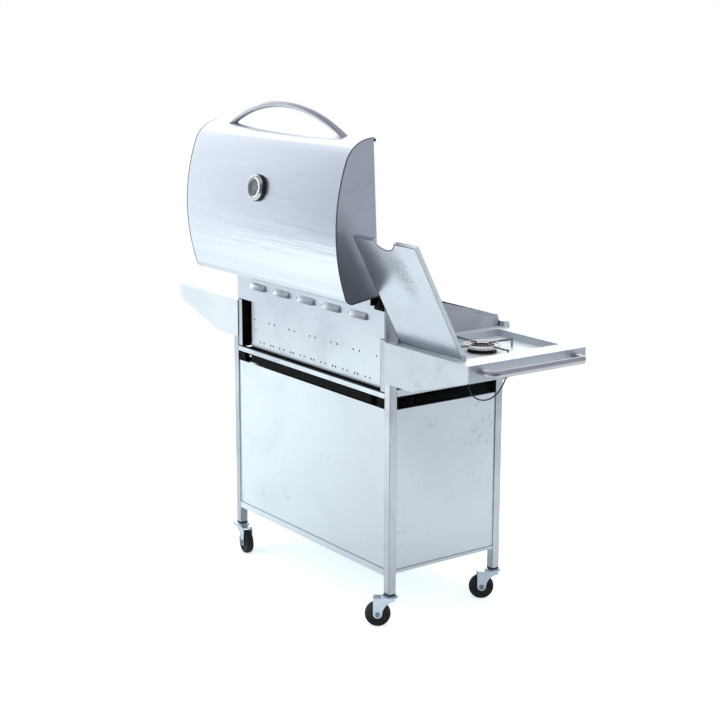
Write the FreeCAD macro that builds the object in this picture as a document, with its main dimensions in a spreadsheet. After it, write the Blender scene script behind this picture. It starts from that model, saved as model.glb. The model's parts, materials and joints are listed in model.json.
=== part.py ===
import FreeCAD, Part
import math
import os
import Sketcher
from FreeCAD import Placement, Rotation, Vector

# Gas grill on a four-caster cart: hood and side-burner lid stand open at rest.
# +X is the user's right, +Y the rear, +Z up. The origin is on the floor, midway between the casters.

os.makedirs("parts", exist_ok=True)
doc = FreeCAD.newDocument("gas_grill")
sheet = doc.addObject("Spreadsheet::Sheet", "dims")
nodes = []


# Sizes: a number together with the sheet formula that gives it

class Size:
    def __init__(self, value, formula):
        self.value = float(value)
        self.formula = formula

    def __add__(self, other):
        other = size(other)
        return Size(self.value + other.value, f"({self.formula} + {other.formula})")

    def __sub__(self, other):
        other = size(other)
        return Size(self.value - other.value, f"({self.formula} - {other.formula})")

    def __mul__(self, other):
        other = size(other)
        return Size(self.value * other.value, f"({self.formula} * {other.formula})")

    def __truediv__(self, other):
        other = size(other)
        return Size(self.value / other.value, f"({self.formula} / {other.formula})")

    def __radd__(self, other):
        return size(other) + self

    def __rsub__(self, other):
        return size(other) - self

    def __rmul__(self, other):
        return size(other) * self

    def __neg__(self):
        return Size(-self.value, f"(0 - {self.formula})")


def size(value):
    if isinstance(value, Size):
        return value
    return Size(value, f"({float(value)})")


def root(value):
    return Size(math.sqrt(value.value), f"sqrt({value.formula})")


def cosine(angle):
    return Size(math.cos(math.radians(angle.value)), f"cos({angle.formula})")


def sine(angle):
    return Size(math.sin(math.radians(angle.value)), f"sin({angle.formula})")


def arc_sine(ratio):
    return Size(math.degrees(math.asin(ratio.value)), f"(asin({ratio.formula}) / 1 deg)")


def dim(alias, value):
    row = len(dim.rows) + 1
    dim.rows.append(alias)
    sheet.set(f"A{row}", alias)
    sheet.set(f"B{row}", str(value))
    sheet.setAlias(f"B{row}", alias)
    return Size(value, f"dims.{alias}")


dim.rows = []

# Sheet metal and square tube
gauge = dim("sheet_gauge", 1.5)
running = dim("running_clearance", 0.05)
rest_gap = dim("resting_gap", 0.3)

# The burner line sets the heights of the firebox, the shelves and the hood
burner_height = dim("burner_height", 745)
tub_floor = burner_height - dim("tub_floor_drop", 55)
ledge_top = burner_height + dim("grate_rise", 98)
shelf_top = ledge_top - dim("shelf_drop", 9)

# Cart frame
cart_width = dim("cart_width", 830)
cart_depth = dim("cart_depth", 411)
post = dim("post_size", 25)
post_wall = dim("post_wall", 1.5)
post_foot = dim("post_foot_height", 98)
rail_depth = dim("rail_depth", 15)
rail_wall = dim("rail_wall", 1.2)
panel_low = dim("panel_low", 170)
panel_high = tub_floor - dim("panel_drop", 49)
panel_inset = dim("panel_inset", 3)
panel_fold = dim("panel_fold", 12)
bottom_rail = dim("bottom_rail_height", 20)
side_sill = dim("side_sill_height", 10)
top_rail_low = tub_floor - dim("top_rail_drop", 18)
top_rail = dim("top_rail_height", 15)
side_rail_low = tub_floor - dim("side_rail_drop", 11)
side_rail = dim("side_rail_height", 20)

# Side shelves
shelf_reach = dim("shelf_reach", 341)
skirt_low = shelf_top - dim("skirt_height", 117)
skirt_flat = dim("skirt_flat", 99)
skirt_end_low = shelf_top - dim("skirt_end_height", 46)
fascia_low = shelf_top - dim("fascia_height", 153)
recess_depth = dim("recess_depth", 21)
recess_inner = dim("recess_inner_margin", 16)
recess_outer = dim("recess_outer_margin", 68)
recess_front = dim("recess_front_margin", 35)
recess_rear = dim("recess_rear_margin", 42)

# Firebox and burners
tub_inset = dim("tub_inset", 48)
tub_ledge = dim("tub_ledge", 19)
band_top = ledge_top + dim("band_rise", 117)
wall_front_top = ledge_top + dim("wall_front_rise", 23)
wall_rear_top = ledge_top + dim("wall_rear_rise", 136)
wall_flange = dim("wall_flange", 20)
wall_notch = dim("wall_notch", 3)
wall_band_front = dim("wall_band_front", 6)
wall_band_rear = dim("wall_band_rear", 28)
wall_skin_rise = dim("wall_skin_rise", 8)
louver_pitch = dim("louver_pitch", 133)
louver_half = dim("louver_half_width", 45)
louver_bulge = dim("louver_bulge", 10)
louver_height = dim("louver_height", 20)
louver_lip = ledge_top + dim("louver_lip_rise", 40)
louver_offset = dim("louver_offset", 4)
louver_end = dim("louver_end_bulge", 24)
screw_shift = dim("screw_shift", 14)
screw_rise = dim("screw_rise", 6.5)
burner_pitch = dim("burner_pitch", 112.5)
burner_radius = dim("burner_radius", 15)
neck_radius = dim("neck_radius", 10)
tent_low = burner_height + dim("tent_clearance", 30)
tent_rise = dim("tent_rise", 25)
tent_half = dim("tent_half_width", 45)
grate_depth = dim("grate_thickness", 8)
slot_width = dim("grate_slot", 12)
bar_width = dim("grate_bar", 9)
rack_height = ledge_top + dim("rack_rise", 143)
rack_front = dim("rack_front_setback", 120)
rack_rear = dim("rack_rear_setback", 15)
rack_foot = dim("rack_foot_rise", 80)
rack_bar = dim("rack_bar", 5)

# Control panel, valves and knobs
panel_front = dim("control_panel_reach", 22.5)
panel_top = shelf_top + dim("control_panel_rise", 16)
panel_bottom = tub_floor - dim("control_panel_drop", 14)
bullnose = dim("bullnose_radius", 14)
manifold_radius = dim("manifold_radius", 8)
manifold_back = dim("manifold_setback", 5.5)
spindle_radius = dim("spindle_radius", 4)
knob_radius = dim("knob_radius", 24)
knob_depth = dim("knob_depth", 27)
bezel_radius = dim("bezel_radius", 29)
bezel_depth = dim("bezel_depth", 2)
igniter_inset = dim("igniter_inset", 88.75)
flare_radius = dim("flare_radius", 7.94)
flare_length = dim("flare_length", 28)

# Hood, measured from its pivot
pivot_back = dim("hood_pivot_back", 9.5)
pivot_height = ledge_top + dim("hood_pivot_rise", 127)
hood_turn = dim("hood_open_turn", 92.43)
hood_over = dim("hood_overhang", 8.5)
hood_rim = dim("hood_rim_offset", 18)
hood_depth = dim("hood_depth", 432)
crown_radius = dim("crown_radius", 548.7)
crown_back = dim("crown_centre_back", 165.5)
crown_drop = crown_radius - dim("crown_rise", 152.9)
crown_rear = dim("crown_rear_end", 12)
crown_front = dim("crown_front_end", 371)
brow_radius = dim("brow_radius", 93)
heel_radius = dim("heel_radius", 28)
heel_height = dim("heel_height", 108)
heel_out = dim("heel_overhang", 13)
rim_out = dim("rim_overhang", 2)
cap_inset = dim("end_cap_inset", 1.5)
handle_radius = dim("handle_tube_radius", 10)
handle_half = dim("handle_half_span", 301)
handle_rise = dim("handle_rise", 77)
handle_level = dim("handle_level", 42)
pin_radius = dim("hinge_pin_radius", 4)
knuckle_radius = dim("knuckle_radius", 8)
strap_width = dim("strap_width", 30)
strap_gauge = dim("strap_thickness", 4)
ear_width = dim("hinge_ear_width", 6)
bracket_drop = dim("hinge_bracket_drop", 50)
bumper_radius = dim("bumper_radius", 4.5)
bumper_height = dim("bumper_height", 8)
gauge_back = dim("thermometer_back", 272)
case_radius = dim("thermometer_case_radius", 39)
case_front = dim("thermometer_front_radius", 34)
case_depth = dim("thermometer_depth", 16)
glass_radius = dim("thermometer_glass_radius", 26)
stem_radius = dim("thermometer_stem_radius", 5)
stem_length = dim("thermometer_stem_length", 60)

# Side burner and its lid
lid_width = dim("lid_width", 271)
lid_length = dim("lid_length", 349)
lid_edge = dim("lid_edge_depth", 12)
lid_inner = dim("lid_inner_gap", 9)
lid_turn = dim("lid_open_turn", 117.4)
lid_pivot_back = dim("lid_pivot_setback", 31)
lid_pivot_rise = dim("lid_pivot_rise", 8)
notch_radius = dim("lid_notch_radius", 53)
notch_depth = dim("lid_notch_depth", 25)
ring_radius = dim("side_burner_radius", 44)
pot_radius = dim("side_burner_pot_radius", 30.5)
ring_gap = dim("pot_ring_gap", 4.5)
pot_drop = dim("side_burner_pot_depth", 33)
pot_rise = dim("side_burner_pot_rise", 10)
wire_radius = dim("pot_wire_radius", 3)
pot_reach = dim("pot_support_reach", 108)
towel_radius = dim("towel_bar_radius", 9.5)
towel_drop = dim("towel_bar_drop", 20)
towel_standoff = dim("towel_bar_standoff", 47)
towel_half = dim("towel_bar_half_span", 165)
lead_radius = dim("lead_radius", 2)

# Grease tray
grease_margin = dim("grease_tray_margin", 68.5)
grease_low = tub_floor - dim("grease_tray_drop", 45)
grease_deep = dim("grease_tray_depth", 23)
grease_lip = dim("grease_tray_lip", 15)

# Doors
door_gap = dim("door_gap", 3.5)
door_depth = dim("door_depth", 12)
door_pivot_in = dim("door_pivot_in", 6)
door_pin = dim("door_pin_radius", 3)
handle_bar = dim("door_handle_radius", 6)
handle_length = dim("door_handle_length", 180)
handle_stand = dim("door_handle_standoff", 30)

# Casters
wheel_radius = dim("wheel_radius", 37.5)
wheel_width = dim("wheel_width", 24)
caster_trail = dim("caster_trail", 34)
caster_stem = dim("caster_stem_radius", 5)
axle_radius = dim("axle_radius", 4)
fork_gauge = dim("fork_thickness", 2.5)
fork_gap = dim("fork_side_gap", 1.5)
hub_plate = dim("fork_hub_radius", 13)
plug_depth = dim("plug_depth", 4)

doc.recompute()

# Derived places
half_width = cart_width / 2
half_depth = cart_depth / 2
inner_width = half_width - post
post_inner = half_depth - post
shelf_end = half_width + shelf_reach
shelf_under = shelf_top - gauge
ledge_under = ledge_top - gauge
band_face = half_depth
band_back = half_depth - gauge
wall_inner = inner_width - gauge
grease_half = wall_inner - grease_margin
tub_half = inner_width - tub_inset
tub_rear = band_back - tub_ledge
tub_front = -(band_back - tub_ledge)
panel_face = -(half_depth + panel_front)
BURNERS = (-2, -1, 0, 1, 2)
SIDES = (-1, 1)


# Drawing helpers

def bind(thing, path, value):
    thing.setExpression(path, size(value).formula)


def place(thing, x=0, y=0, z=0, axis=(0, 0, 1), angle=0):
    x, y, z, angle = size(x), size(y), size(z), size(angle)
    thing.Placement = Placement(Vector(x.value, y.value, z.value), Rotation(Vector(*axis), angle.value))
    for letter, value in (("x", x), ("y", y), ("z", z)):
        bind(thing, f".Placement.Base.{letter}", value)
    if abs(angle.value) > 0:
        bind(thing, ".Placement.Rotation.Angle", angle)
    return thing


def slab(xs, ys, zs):
    box = doc.addObject("Part::Box", "slab")
    for name, span in (("Length", xs), ("Width", ys), ("Height", zs)):
        bind(box, name, size(span[1]) - span[0])
    return place(box, xs[0], ys[0], zs[0])


def rod(radius, start, length, along="z"):
    bar = doc.addObject("Part::Cylinder", "rod")
    bind(bar, "Radius", radius)
    bind(bar, "Height", length)
    turn = {"x": ((0, 1, 0), 90), "y": ((-1, 0, 0), 90), "z": ((0, 0, 1), 0)}[along]
    return place(bar, *start, axis=turn[0], angle=turn[1])


def ball(radius, centre):
    globe = doc.addObject("Part::Sphere", "ball")
    bind(globe, "Radius", radius)
    return place(globe, *centre)


def ring_bend(radius, tube, centre, start, sweep):
    bend = doc.addObject("Part::Torus", "bend")
    bind(bend, "Radius1", radius)
    bind(bend, "Radius2", tube)
    bind(bend, "Angle3", sweep)
    return place(bend, *centre, axis=(0, 0, 1), angle=start)


def fuse(pieces):
    joined = doc.addObject("Part::MultiFuse", "joined")
    joined.Shapes = list(pieces)
    joined.Refine = True
    return joined


def group(pieces):
    bundle = doc.addObject("Part::Compound", "bundle")
    bundle.Links = list(pieces)
    return bundle


def cut(base, tools):
    made = doc.addObject("Part::Cut", "made")
    made.Base = base
    made.Tool = tools[0] if len(tools) == 1 else group(tools)
    made.Refine = True
    return made


def common(one, other):
    shared = doc.addObject("Part::Common", "shared")
    shared.Base = one
    shared.Tool = other
    return shared


def new_body(plane_role):
    body = doc.addObject("PartDesign::Body", "body")
    sketch = body.newObject("Sketcher::SketchObject", "outline")
    plane = [item for item in body.Origin.OriginFeatures if item.Role == plane_role][0]
    sketch.AttachmentSupport = [(plane, "")]
    sketch.MapMode = "FlatFace"
    return body, sketch


def arc_curve(start, end, radius):
    # a circle arc of the given radius that runs anticlockwise from start to end, under a half turn
    chord = end - start
    half = chord.Length / 2
    left = Vector(-chord.y, chord.x, 0).normalize()
    centre = (start + end) / 2 + left * math.sqrt(radius * radius - half * half)
    first = math.atan2(start.y - centre.y, start.x - centre.x)
    last = math.atan2(end.y - centre.y, end.x - centre.x)
    return Part.ArcOfCircle(Part.Circle(centre, Vector(0, 0, 1), radius), first, last)


def draw_outline(sketch, points, arcs=None):
    # a closed outline; arcs maps an edge's index to the radius that bulges it outwards
    arcs = arcs or {}
    points = [(size(u), size(v)) for u, v in points]
    seeds = [Vector(u.value, v.value, 0) for u, v in points]
    count = len(points)
    for index in range(count):
        start, end = seeds[index], seeds[(index + 1) % count]
        if index in arcs:
            sketch.addGeometry(arc_curve(start, end, size(arcs[index]).value), False)
        else:
            sketch.addGeometry(Part.LineSegment(start, end), False)
    for index in range(count):
        after = (index + 1) % count
        sketch.addConstraint(Sketcher.Constraint("Coincident", index, 2, after, 1))
    for index, (u, v) in enumerate(points):
        for kind, value in (("DistanceX", u), ("DistanceY", v)):
            rule = sketch.addConstraint(Sketcher.Constraint(kind, -1, 1, index, 1, value.value))
            sketch.setExpression(f"Constraints[{rule}]", value.formula)
    for index, radius in arcs.items():
        radius = size(radius)
        rule = sketch.addConstraint(Sketcher.Constraint("Radius", index, radius.value))
        sketch.setExpression(f"Constraints[{rule}]", radius.formula)


def prism(plane, points, start, depth, arcs=None):
    # "YZ": drawn as (y, z), grows along +X; "XZ": drawn as (x, z), grows along -Y; "XY": along +Z
    body, sketch = new_body(plane + "_Plane")
    draw_outline(sketch, points, arcs)
    pad = body.newObject("PartDesign::Pad", "pad")
    pad.Profile = sketch
    bind(pad, "Length", depth)
    offset = {"YZ": (start, 0, 0), "XZ": (0, start, 0), "XY": (0, 0, start)}[plane]
    return place(body, *offset)


def lathe(points):
    # drawn as (radius, height) and turned about Z
    body, sketch = new_body("XZ_Plane")
    draw_outline(sketch, points)
    turned = body.newObject("PartDesign::Revolution", "turned")
    turned.Profile = sketch
    turned.ReferenceAxis = (sketch, ["V_Axis"])
    turned.Angle = 360
    return body


def box_tube(xs, ys, zs, along, wall):
    outer = slab(xs, ys, zs)
    spans = []
    for letter, span in zip("xyz", (xs, ys, zs)):
        if letter == along:
            spans.append(span)
        else:
            spans.append((size(span[0]) + wall, size(span[1]) - wall))
    return cut(outer, [slab(*spans)])


def span(side, near, far):
    # a stretch from near to far on the right (side 1), or its mirror on the left (side -1)
    return (near, far) if side > 0 else (-size(far), -size(near))


def node(thing, label):
    thing.Label = label
    nodes.append(thing)
    return thing


# Cart: posts, plugs, rails, panels

def cart_posts():
    tubes = []
    for across in SIDES:
        for back in SIDES:
            xs = span(across, inner_width, half_width)
            ys = span(back, post_inner, half_depth)
            tubes.append(box_tube(xs, ys, (post_foot, shelf_under), "z", post_wall))
    return group(tubes)


def post_plugs():
    plugs = []
    slack = post_wall + 0.1
    for across in SIDES:
        for back in SIDES:
            xs = span(across, inner_width, half_width)
            ys = span(back, post_inner, half_depth)
            head = slab(xs, ys, (post_foot - plug_depth, post_foot))
            body = slab((xs[0] + slack, xs[1] - slack), (ys[0] + slack, ys[1] - slack),
                        (post_foot, post_foot + post))
            middle = ((xs[0] + xs[1]) / 2, (ys[0] + ys[1]) / 2, post_foot - plug_depth)
            bore = rod(caster_stem + running, middle, plug_depth + post)
            plugs.append(cut(fuse([head, body]), [bore]))
    return group(plugs)


def cart_rails():
    xs = (-inner_width, inner_width)
    rails = []
    for back in SIDES:
        ys = span(back, half_depth - rail_depth, half_depth)
        rails.append(box_tube(xs, ys, (panel_low - bottom_rail, panel_low), "x", rail_wall))
        rails.append(box_tube(xs, ys, (top_rail_low, top_rail_low + top_rail), "x", rail_wall))
    ys = (-post_inner, post_inner)
    for across in SIDES:
        xs = span(across, half_width - rail_depth, half_width)
        rails.append(box_tube(xs, ys, (panel_low - side_sill, panel_low), "y", rail_wall))
        rails.append(box_tube(xs, ys, (side_rail_low, side_rail_low + side_rail), "y", rail_wall))
    return group(rails)


def bottom_shelf():
    rear = half_depth - panel_inset - gauge
    zs = (panel_low, panel_low + gauge)
    between_posts = slab((-inner_width, inner_width), (-(half_depth - rail_depth), rear), zs)
    edge = half_width - panel_inset - gauge
    between_sides = slab((-edge, edge), (-post_inner, post_inner), zs)
    return fuse([between_posts, between_sides])


def rear_panel():
    face = half_depth - panel_inset
    xs = (-inner_width, inner_width)
    skin = slab(xs, (face - gauge, face), (panel_low, panel_high))
    fold = slab(xs, (face - panel_fold, face), (panel_high - gauge, panel_high))
    return fuse([skin, fold])


def side_panel(side):
    face = half_width - panel_inset
    ys = (-post_inner, post_inner)
    skin = slab(span(side, face - gauge, face), ys, (panel_low, panel_high))
    fold = slab(span(side, face - panel_fold, face), ys, (panel_high - gauge, panel_high))
    return fuse([skin, fold])


node(cart_posts(), "cart_posts")
node(post_plugs(), "post_plugs")
node(cart_rails(), "cart_rails")
node(bottom_shelf(), "bottom_shelf")
node(rear_panel(), "rear_panel")
node(group([side_panel(side) for side in SIDES]), "side_panels")


# Firebox: side walls, louvred rear band, burner tub

def firebox_walls():
    front = -band_back
    outline = [(front, tub_floor), (band_back, tub_floor), (band_back, wall_rear_top), (front, wall_front_top)]
    skin_low = shelf_top + wall_skin_rise
    skin_line = [(front, skin_low), (band_back, skin_low), (band_back, wall_rear_top - wall_band_rear),
                 (front, wall_front_top - wall_band_front)]
    walls = []
    for side in SIDES:
        xs = span(side, wall_inner, inner_width)
        plate = prism("YZ", outline, xs[0], gauge)
        flange = slab(span(side, wall_inner - wall_flange, wall_inner), (band_back - gauge, band_back),
                      (tub_floor, ledge_under - wall_notch))
        skin = prism("YZ", skin_line, span(side, inner_width, inner_width + gauge * 2)[0], gauge * 2)
        wall = fuse([plate, flange, skin])
        if side > 0:
            wall = cut(wall, [rod(manifold_radius, (wall_inner, 0, burner_height), gauge, "x")])
        walls.append(wall)
    return walls


def louver_band():
    plate = slab((-wall_inner, wall_inner), (band_back, band_face), (ledge_under, band_top))
    ledge = slab((-wall_inner, wall_inner), (tub_rear - gauge, band_back), (ledge_under, ledge_top))
    # each louver is a ramp with a round section, and a ball rounds its two ends
    rise = louver_height + louver_offset
    sink = (rise * rise - louver_offset * louver_offset - louver_bulge * louver_bulge) / (louver_bulge * 2)
    ramp = root(sink * sink + rise * rise)
    dome = (louver_half * louver_half + louver_end * louver_end) / (louver_end * 2)
    skins = []
    hollows = []

    def pressing(middle, inset):
        start = middle - louver_half - gauge
        width = (louver_half + gauge) * 2
        bar = rod(ramp - inset, (start, band_face - sink, louver_lip - louver_offset), width, "x")
        end = ball(dome - inset, (middle, band_face + louver_end - dome, louver_lip))
        lift = (louver_lip, louver_lip + louver_height + gauge)
        return common(common(bar, end), slab((start, start + width), (band_back, band_face + louver_bulge), lift))

    for step in BURNERS:
        skins.append(pressing(louver_pitch * step, size(0)))
        hollows.append(pressing(louver_pitch * step, gauge))
    return cut(fuse([plate, ledge] + skins), hollows)


def rear_screws():
    heads = []
    head_radius = gauge * 3
    for step in (-1.5, -0.5, 0.5, 1.5):
        place_x = louver_pitch * step - screw_shift
        heads.append(rod(head_radius, (place_x, band_face, louver_lip + screw_rise), gauge * 1.5, "y"))
    return group(heads)


def burner_tub():
    front_wall = slab((-tub_half, tub_half), (tub_front, tub_front + gauge), (tub_floor, ledge_top))
    ys = (tub_front + gauge, tub_rear - gauge)
    pieces = [front_wall]
    for side in SIDES:
        pieces.append(slab(span(side, tub_half - gauge, tub_half), ys, (tub_floor, ledge_top)))
        pieces.append(slab(span(side, tub_half - gauge, wall_inner), ys, (ledge_under, ledge_top)))
    pieces.append(slab((-wall_inner, wall_inner), (-band_back + gauge, tub_front + gauge), (ledge_under, ledge_top)))
    pieces.append(slab((-tub_half, tub_half), (tub_front, tub_rear - gauge), (tub_floor, tub_floor + gauge)))
    drain_margin = tub_inset * 2
    holes = [slab((-(tub_half - drain_margin), tub_half - drain_margin),
                  (tub_front + drain_margin, tub_rear - drain_margin), (tub_floor, tub_floor + gauge))]
    for step in BURNERS:
        holes.append(rod(neck_radius + rest_gap, (burner_pitch * step, tub_front, burner_height), gauge, "y"))
    return cut(fuse(pieces), holes)


def tub_rear_panel():
    plate = slab((-tub_half, tub_half), (tub_rear - gauge, tub_rear), (tub_floor, ledge_under))
    upper_row = tub_floor + 90
    lower_row = tub_floor + 21
    holes = []

    def hole(x, z, radius):
        holes.append(rod(radius, (x, tub_rear - gauge, z), gauge, "y"))

    for side in SIDES:
        hole((tub_half - 18) * side, upper_row, 3)
        for step in BURNERS:
            hole(burner_pitch * step + 15 * side, upper_row, 3)
            hole(burner_pitch * step + 7.5 * side, lower_row, 3.4)
        for step in range(6):
            hole(burner_pitch * (step - 2.5) + 11 * side, lower_row, 3)
    return cut(plate, holes)


def firebox_front_wall():
    return slab((-wall_inner, wall_inner), (-band_back, -band_back + gauge), (ledge_top - 50, wall_front_top))


node(group(firebox_walls() + [firebox_front_wall()]), "firebox_walls")
node(louver_band(), "louver_band")
node(rear_screws(), "rear_screws")
node(group([burner_tub(), tub_rear_panel()]), "burner_tub")


# Cooking gear: burners, heat tents, grates, warming rack

def burner_tubes():
    tubes = []
    neck_start = tub_front - 4
    body_start = tub_front + 34
    body_end = tub_rear - gauge - 14
    for step in BURNERS:
        x = burner_pitch * step
        neck = rod(neck_radius, (x, neck_start, burner_height), body_start - neck_start, "y")
        body = rod(burner_radius, (x, body_start, burner_height), body_end - body_start, "y")
        tab = slab((x - 8, x + 8), (body_end - 2, tub_rear - gauge), (burner_height - 5, burner_height + 5))
        bore = rod(neck_radius - 2, (x, neck_start, burner_height), body_start + 60 - neck_start, "y")
        tubes.append(cut(fuse([neck, body, tab]), [bore]))
    return group(tubes)


def heat_tents():
    tents = []
    length = (tub_rear - gauge) - (tub_front + gauge)
    for step in BURNERS:
        x = burner_pitch * step
        outline = [(x - tent_half, tent_low), (x - tent_half + gauge * 2, tent_low), (x, tent_low + tent_rise - gauge),
                   (x + tent_half - gauge * 2, tent_low), (x + tent_half, tent_low), (x, tent_low + tent_rise)]
        tents.append(prism("XZ", outline, tub_rear - gauge, length))
    return group(tents)


def cooking_grates():
    grates = []
    margin = gauge * 3
    bars = 17
    half_y = band_back - gauge * 4
    web = bar_width * 1.5
    for side in SIDES:
        plate = slab(span(side, gauge, wall_inner - margin), (-half_y, half_y), (ledge_top, ledge_top + grate_depth))
        slots = []
        for step in range(bars):
            near = gauge + bar_width + (slot_width + bar_width) * step
            xs = span(side, near, near + slot_width)
            for back in SIDES:
                ys = span(back, web / 2, half_y - web)
                slots.append(slab(xs, ys, (ledge_top, ledge_top + grate_depth)))
        grates.append(cut(plate, slots))
    return group(grates)


def warming_rack():
    front = post_inner - rack_front
    rear = post_inner - rack_rear
    top = rack_height + rack_bar
    pieces = []
    for side in SIDES:
        pieces.append(slab(span(side, wall_inner - 4, wall_inner), (front, rear), (ledge_top + rack_foot, rack_height)))
    for ys in ((front, front + rack_bar), (rear - rack_bar, rear)):
        pieces.append(slab((-wall_inner, wall_inner), ys, (rack_height, top)))
    bars = 19
    pitch = (wall_inner - rack_bar) * 2 / (bars - 1)
    for step in range(bars):
        x = -wall_inner + rack_bar / 2 + pitch * step
        pieces.append(slab((x, x + rack_bar), (front, rear), (rack_height, top)))
    return fuse(pieces)


node(burner_tubes(), "burner_tubes")
node(heat_tents(), "heat_tents")
node(cooking_grates(), "cooking_grates")
node(warming_rack(), "warming_rack")


# Gas supply and controls

knob_seat = panel_face - bezel_depth
spindle_tip = panel_face + 16
pipe_y = -(half_depth - manifold_back)
supply_x = tub_half + tub_inset / 2 - gauge / 2


def gas_manifold():
    bore_end = spindle_tip + 2
    left_end = burner_pitch * -2 - 30
    pieces = [rod(manifold_radius, (left_end, pipe_y, burner_height), supply_x - left_end, "x")]
    bores = []
    for step in BURNERS:
        x = burner_pitch * step
        mouth = panel_face + 2 * gauge
        pieces.append(rod(spindle_radius * 2.25, (x, mouth, burner_height), pipe_y - mouth, "y"))
        nozzle_start = pipe_y + manifold_radius / 2
        pieces.append(rod(spindle_radius, (x, nozzle_start, burner_height), tub_front - 1.5 - nozzle_start, "y"))
        bores.append(rod(spindle_radius + running, (x, mouth, burner_height), bore_end - mouth, "y"))
    for side in SIDES:
        x = burner_pitch * side * 1.5
        pieces.append(slab((x - 10, x + 10), (pipe_y, tub_front), (burner_height - 5, burner_height + 5)))
    pieces.append(ball(manifold_radius, (supply_x, pipe_y, burner_height)))
    pieces.append(rod(manifold_radius - 1, (supply_x, pipe_y, burner_height), -pipe_y, "y"))
    pieces.append(ball(manifold_radius - 1, (supply_x, 0, burner_height)))
    flare_x = inner_width + 2
    pieces.append(rod(manifold_radius - 1, (supply_x, 0, burner_height), flare_x - supply_x, "x"))
    pieces.append(rod(flare_radius, (flare_x, 0, burner_height), flare_length, "x"))
    return cut(fuse(pieces), bores)


def control_panel():
    face = panel_face
    inner = face + gauge
    low = panel_bottom
    outline = [(face, low), (-half_depth, low), (-half_depth, low + gauge), (inner, low + gauge),
               (inner, panel_top - bullnose), (face + bullnose, panel_top - gauge),
               (-band_back, panel_top - gauge), (-band_back, panel_top), (face + bullnose, panel_top),
               (face, panel_top - bullnose)]
    skin = prism("YZ", outline, -half_width, cart_width, {8: bullnose})
    rear = -half_depth - gauge
    end_line = [(face, low), (rear, low), (rear, panel_top), (face + bullnose, panel_top), (face, panel_top - bullnose)]
    ends = []
    for side in SIDES:
        start = span(side, half_width - gauge, half_width)[0]
        ends.append(prism("YZ", end_line, start, gauge, {3: bullnose}))
        ends.append(slab(span(side, inner_width, half_width), (rear - gauge, rear), (shelf_top, panel_top)))
    holes = []
    for step in BURNERS:
        holes.append(rod(spindle_radius * 1.5, (burner_pitch * step, face, burner_height), gauge, "y"))
    holes.append(rod(button_radius + rest_gap, (button_x, face, burner_height), gauge, "y"))
    return cut(fuse([skin] + ends), holes)


button_radius = size(9)
button_x = half_width - igniter_inset
side_knob_height = shelf_top - 44


def bezel(x, face, z):
    plate = rod(bezel_radius, (x, face - bezel_depth, z), bezel_depth, "y")
    return cut(plate, [rod(spindle_radius * 1.5, (x, face - bezel_depth, z), bezel_depth, "y")])


def knob(x, face, z):
    seat = face - bezel_depth - rest_gap
    skirt_depth = knob_depth / 5
    skirt = rod(knob_radius, (x, seat - skirt_depth, z), skirt_depth, "y")
    body = rod(knob_radius * 0.8, (x, seat - knob_depth * 0.6, z), knob_depth * 0.6, "y")
    grip = slab((x - knob_radius / 5, x + knob_radius / 5), (seat - knob_depth, seat),
                (z - knob_radius * 0.88, z + knob_radius * 0.88))
    spindle = rod(spindle_radius, (x, seat, z), face + 16 - seat, "y")
    return fuse([skirt, body, grip, spindle])


def igniter_button():
    stem = rod(button_radius, (button_x, panel_face - 8, burner_height), 8 + gauge * 6, "y")
    return group([stem])


def igniter_switch():
    start = panel_face + gauge
    cup = rod(button_radius + 3, (button_x, start, burner_height), 17, "y")
    bore = rod(button_radius + running, (button_x, start, burner_height), 14, "y")
    return cut(cup, [bore])


node(gas_manifold(), "gas_manifold")
node(control_panel(), "control_panel")
node(igniter_switch(), "igniter_switch")
left_burner_x = -(half_width + lid_inner + lid_width / 2)
left_burner_y = -(recess_rear - recess_front) / 2
bezels = [bezel(burner_pitch * step, panel_face, burner_height) for step in BURNERS]
bezels.append(bezel(left_burner_x, -(half_depth + gauge), side_knob_height))
node(group(bezels), "knob_bezels")
for index, step in enumerate(BURNERS):
    node(knob(burner_pitch * step, panel_face, burner_height), f"burner_knob_{index + 1}")
node(knob(left_burner_x, -(half_depth + gauge), side_knob_height), "side_burner_knob")
node(igniter_button(), "igniter_button")


# Side shelves, towel bar, side burner

recess_x = (half_width + recess_inner, shelf_end - recess_outer)
recess_y = (-(half_depth + gauge - recess_front), half_depth + gauge - recess_rear)


def shelf(side, with_burner):
    outer = half_depth + gauge
    top = slab(span(side, inner_width, shelf_end), (-outer, outer), (shelf_under, shelf_top))
    knee = half_width + skirt_flat

    def outline(points):
        points = [(size(x) * side, z) for x, z in points]
        return points if side > 0 else points[::-1]

    skirt = prism("XZ", outline([(inner_width, skirt_low), (knee, skirt_low), (shelf_end, skirt_end_low),
                                 (shelf_end, shelf_top), (inner_width, shelf_top)]), outer, gauge)
    fascia = prism("XZ", outline([(half_width, fascia_low), (shelf_end, skirt_end_low), (shelf_end, shelf_top),
                                  (half_width, shelf_top)]), -half_depth, gauge)
    end = slab(span(side, shelf_end - gauge, shelf_end), (-outer, outer), (skirt_end_low, shelf_top))
    pieces = [top, skirt, fascia, end]
    holes = []
    if with_burner:
        floor = shelf_top - recess_depth
        xs = span(side, recess_x[0] - gauge, recess_x[1] + gauge)
        pieces.append(slab(xs, (recess_y[0] - gauge, recess_y[1] + gauge), (floor - gauge, shelf_top)))
        holes.append(slab(span(side, *recess_x), recess_y, (floor, shelf_top)))
        holes.append(rod(ring_radius - 8, (left_burner_x, left_burner_y, floor - gauge), gauge))
        holes.append(rod(spindle_radius * 1.5, (left_burner_x, -outer, side_knob_height), gauge, "y"))
    made = fuse(pieces)
    return cut(made, holes) if holes else made


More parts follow.
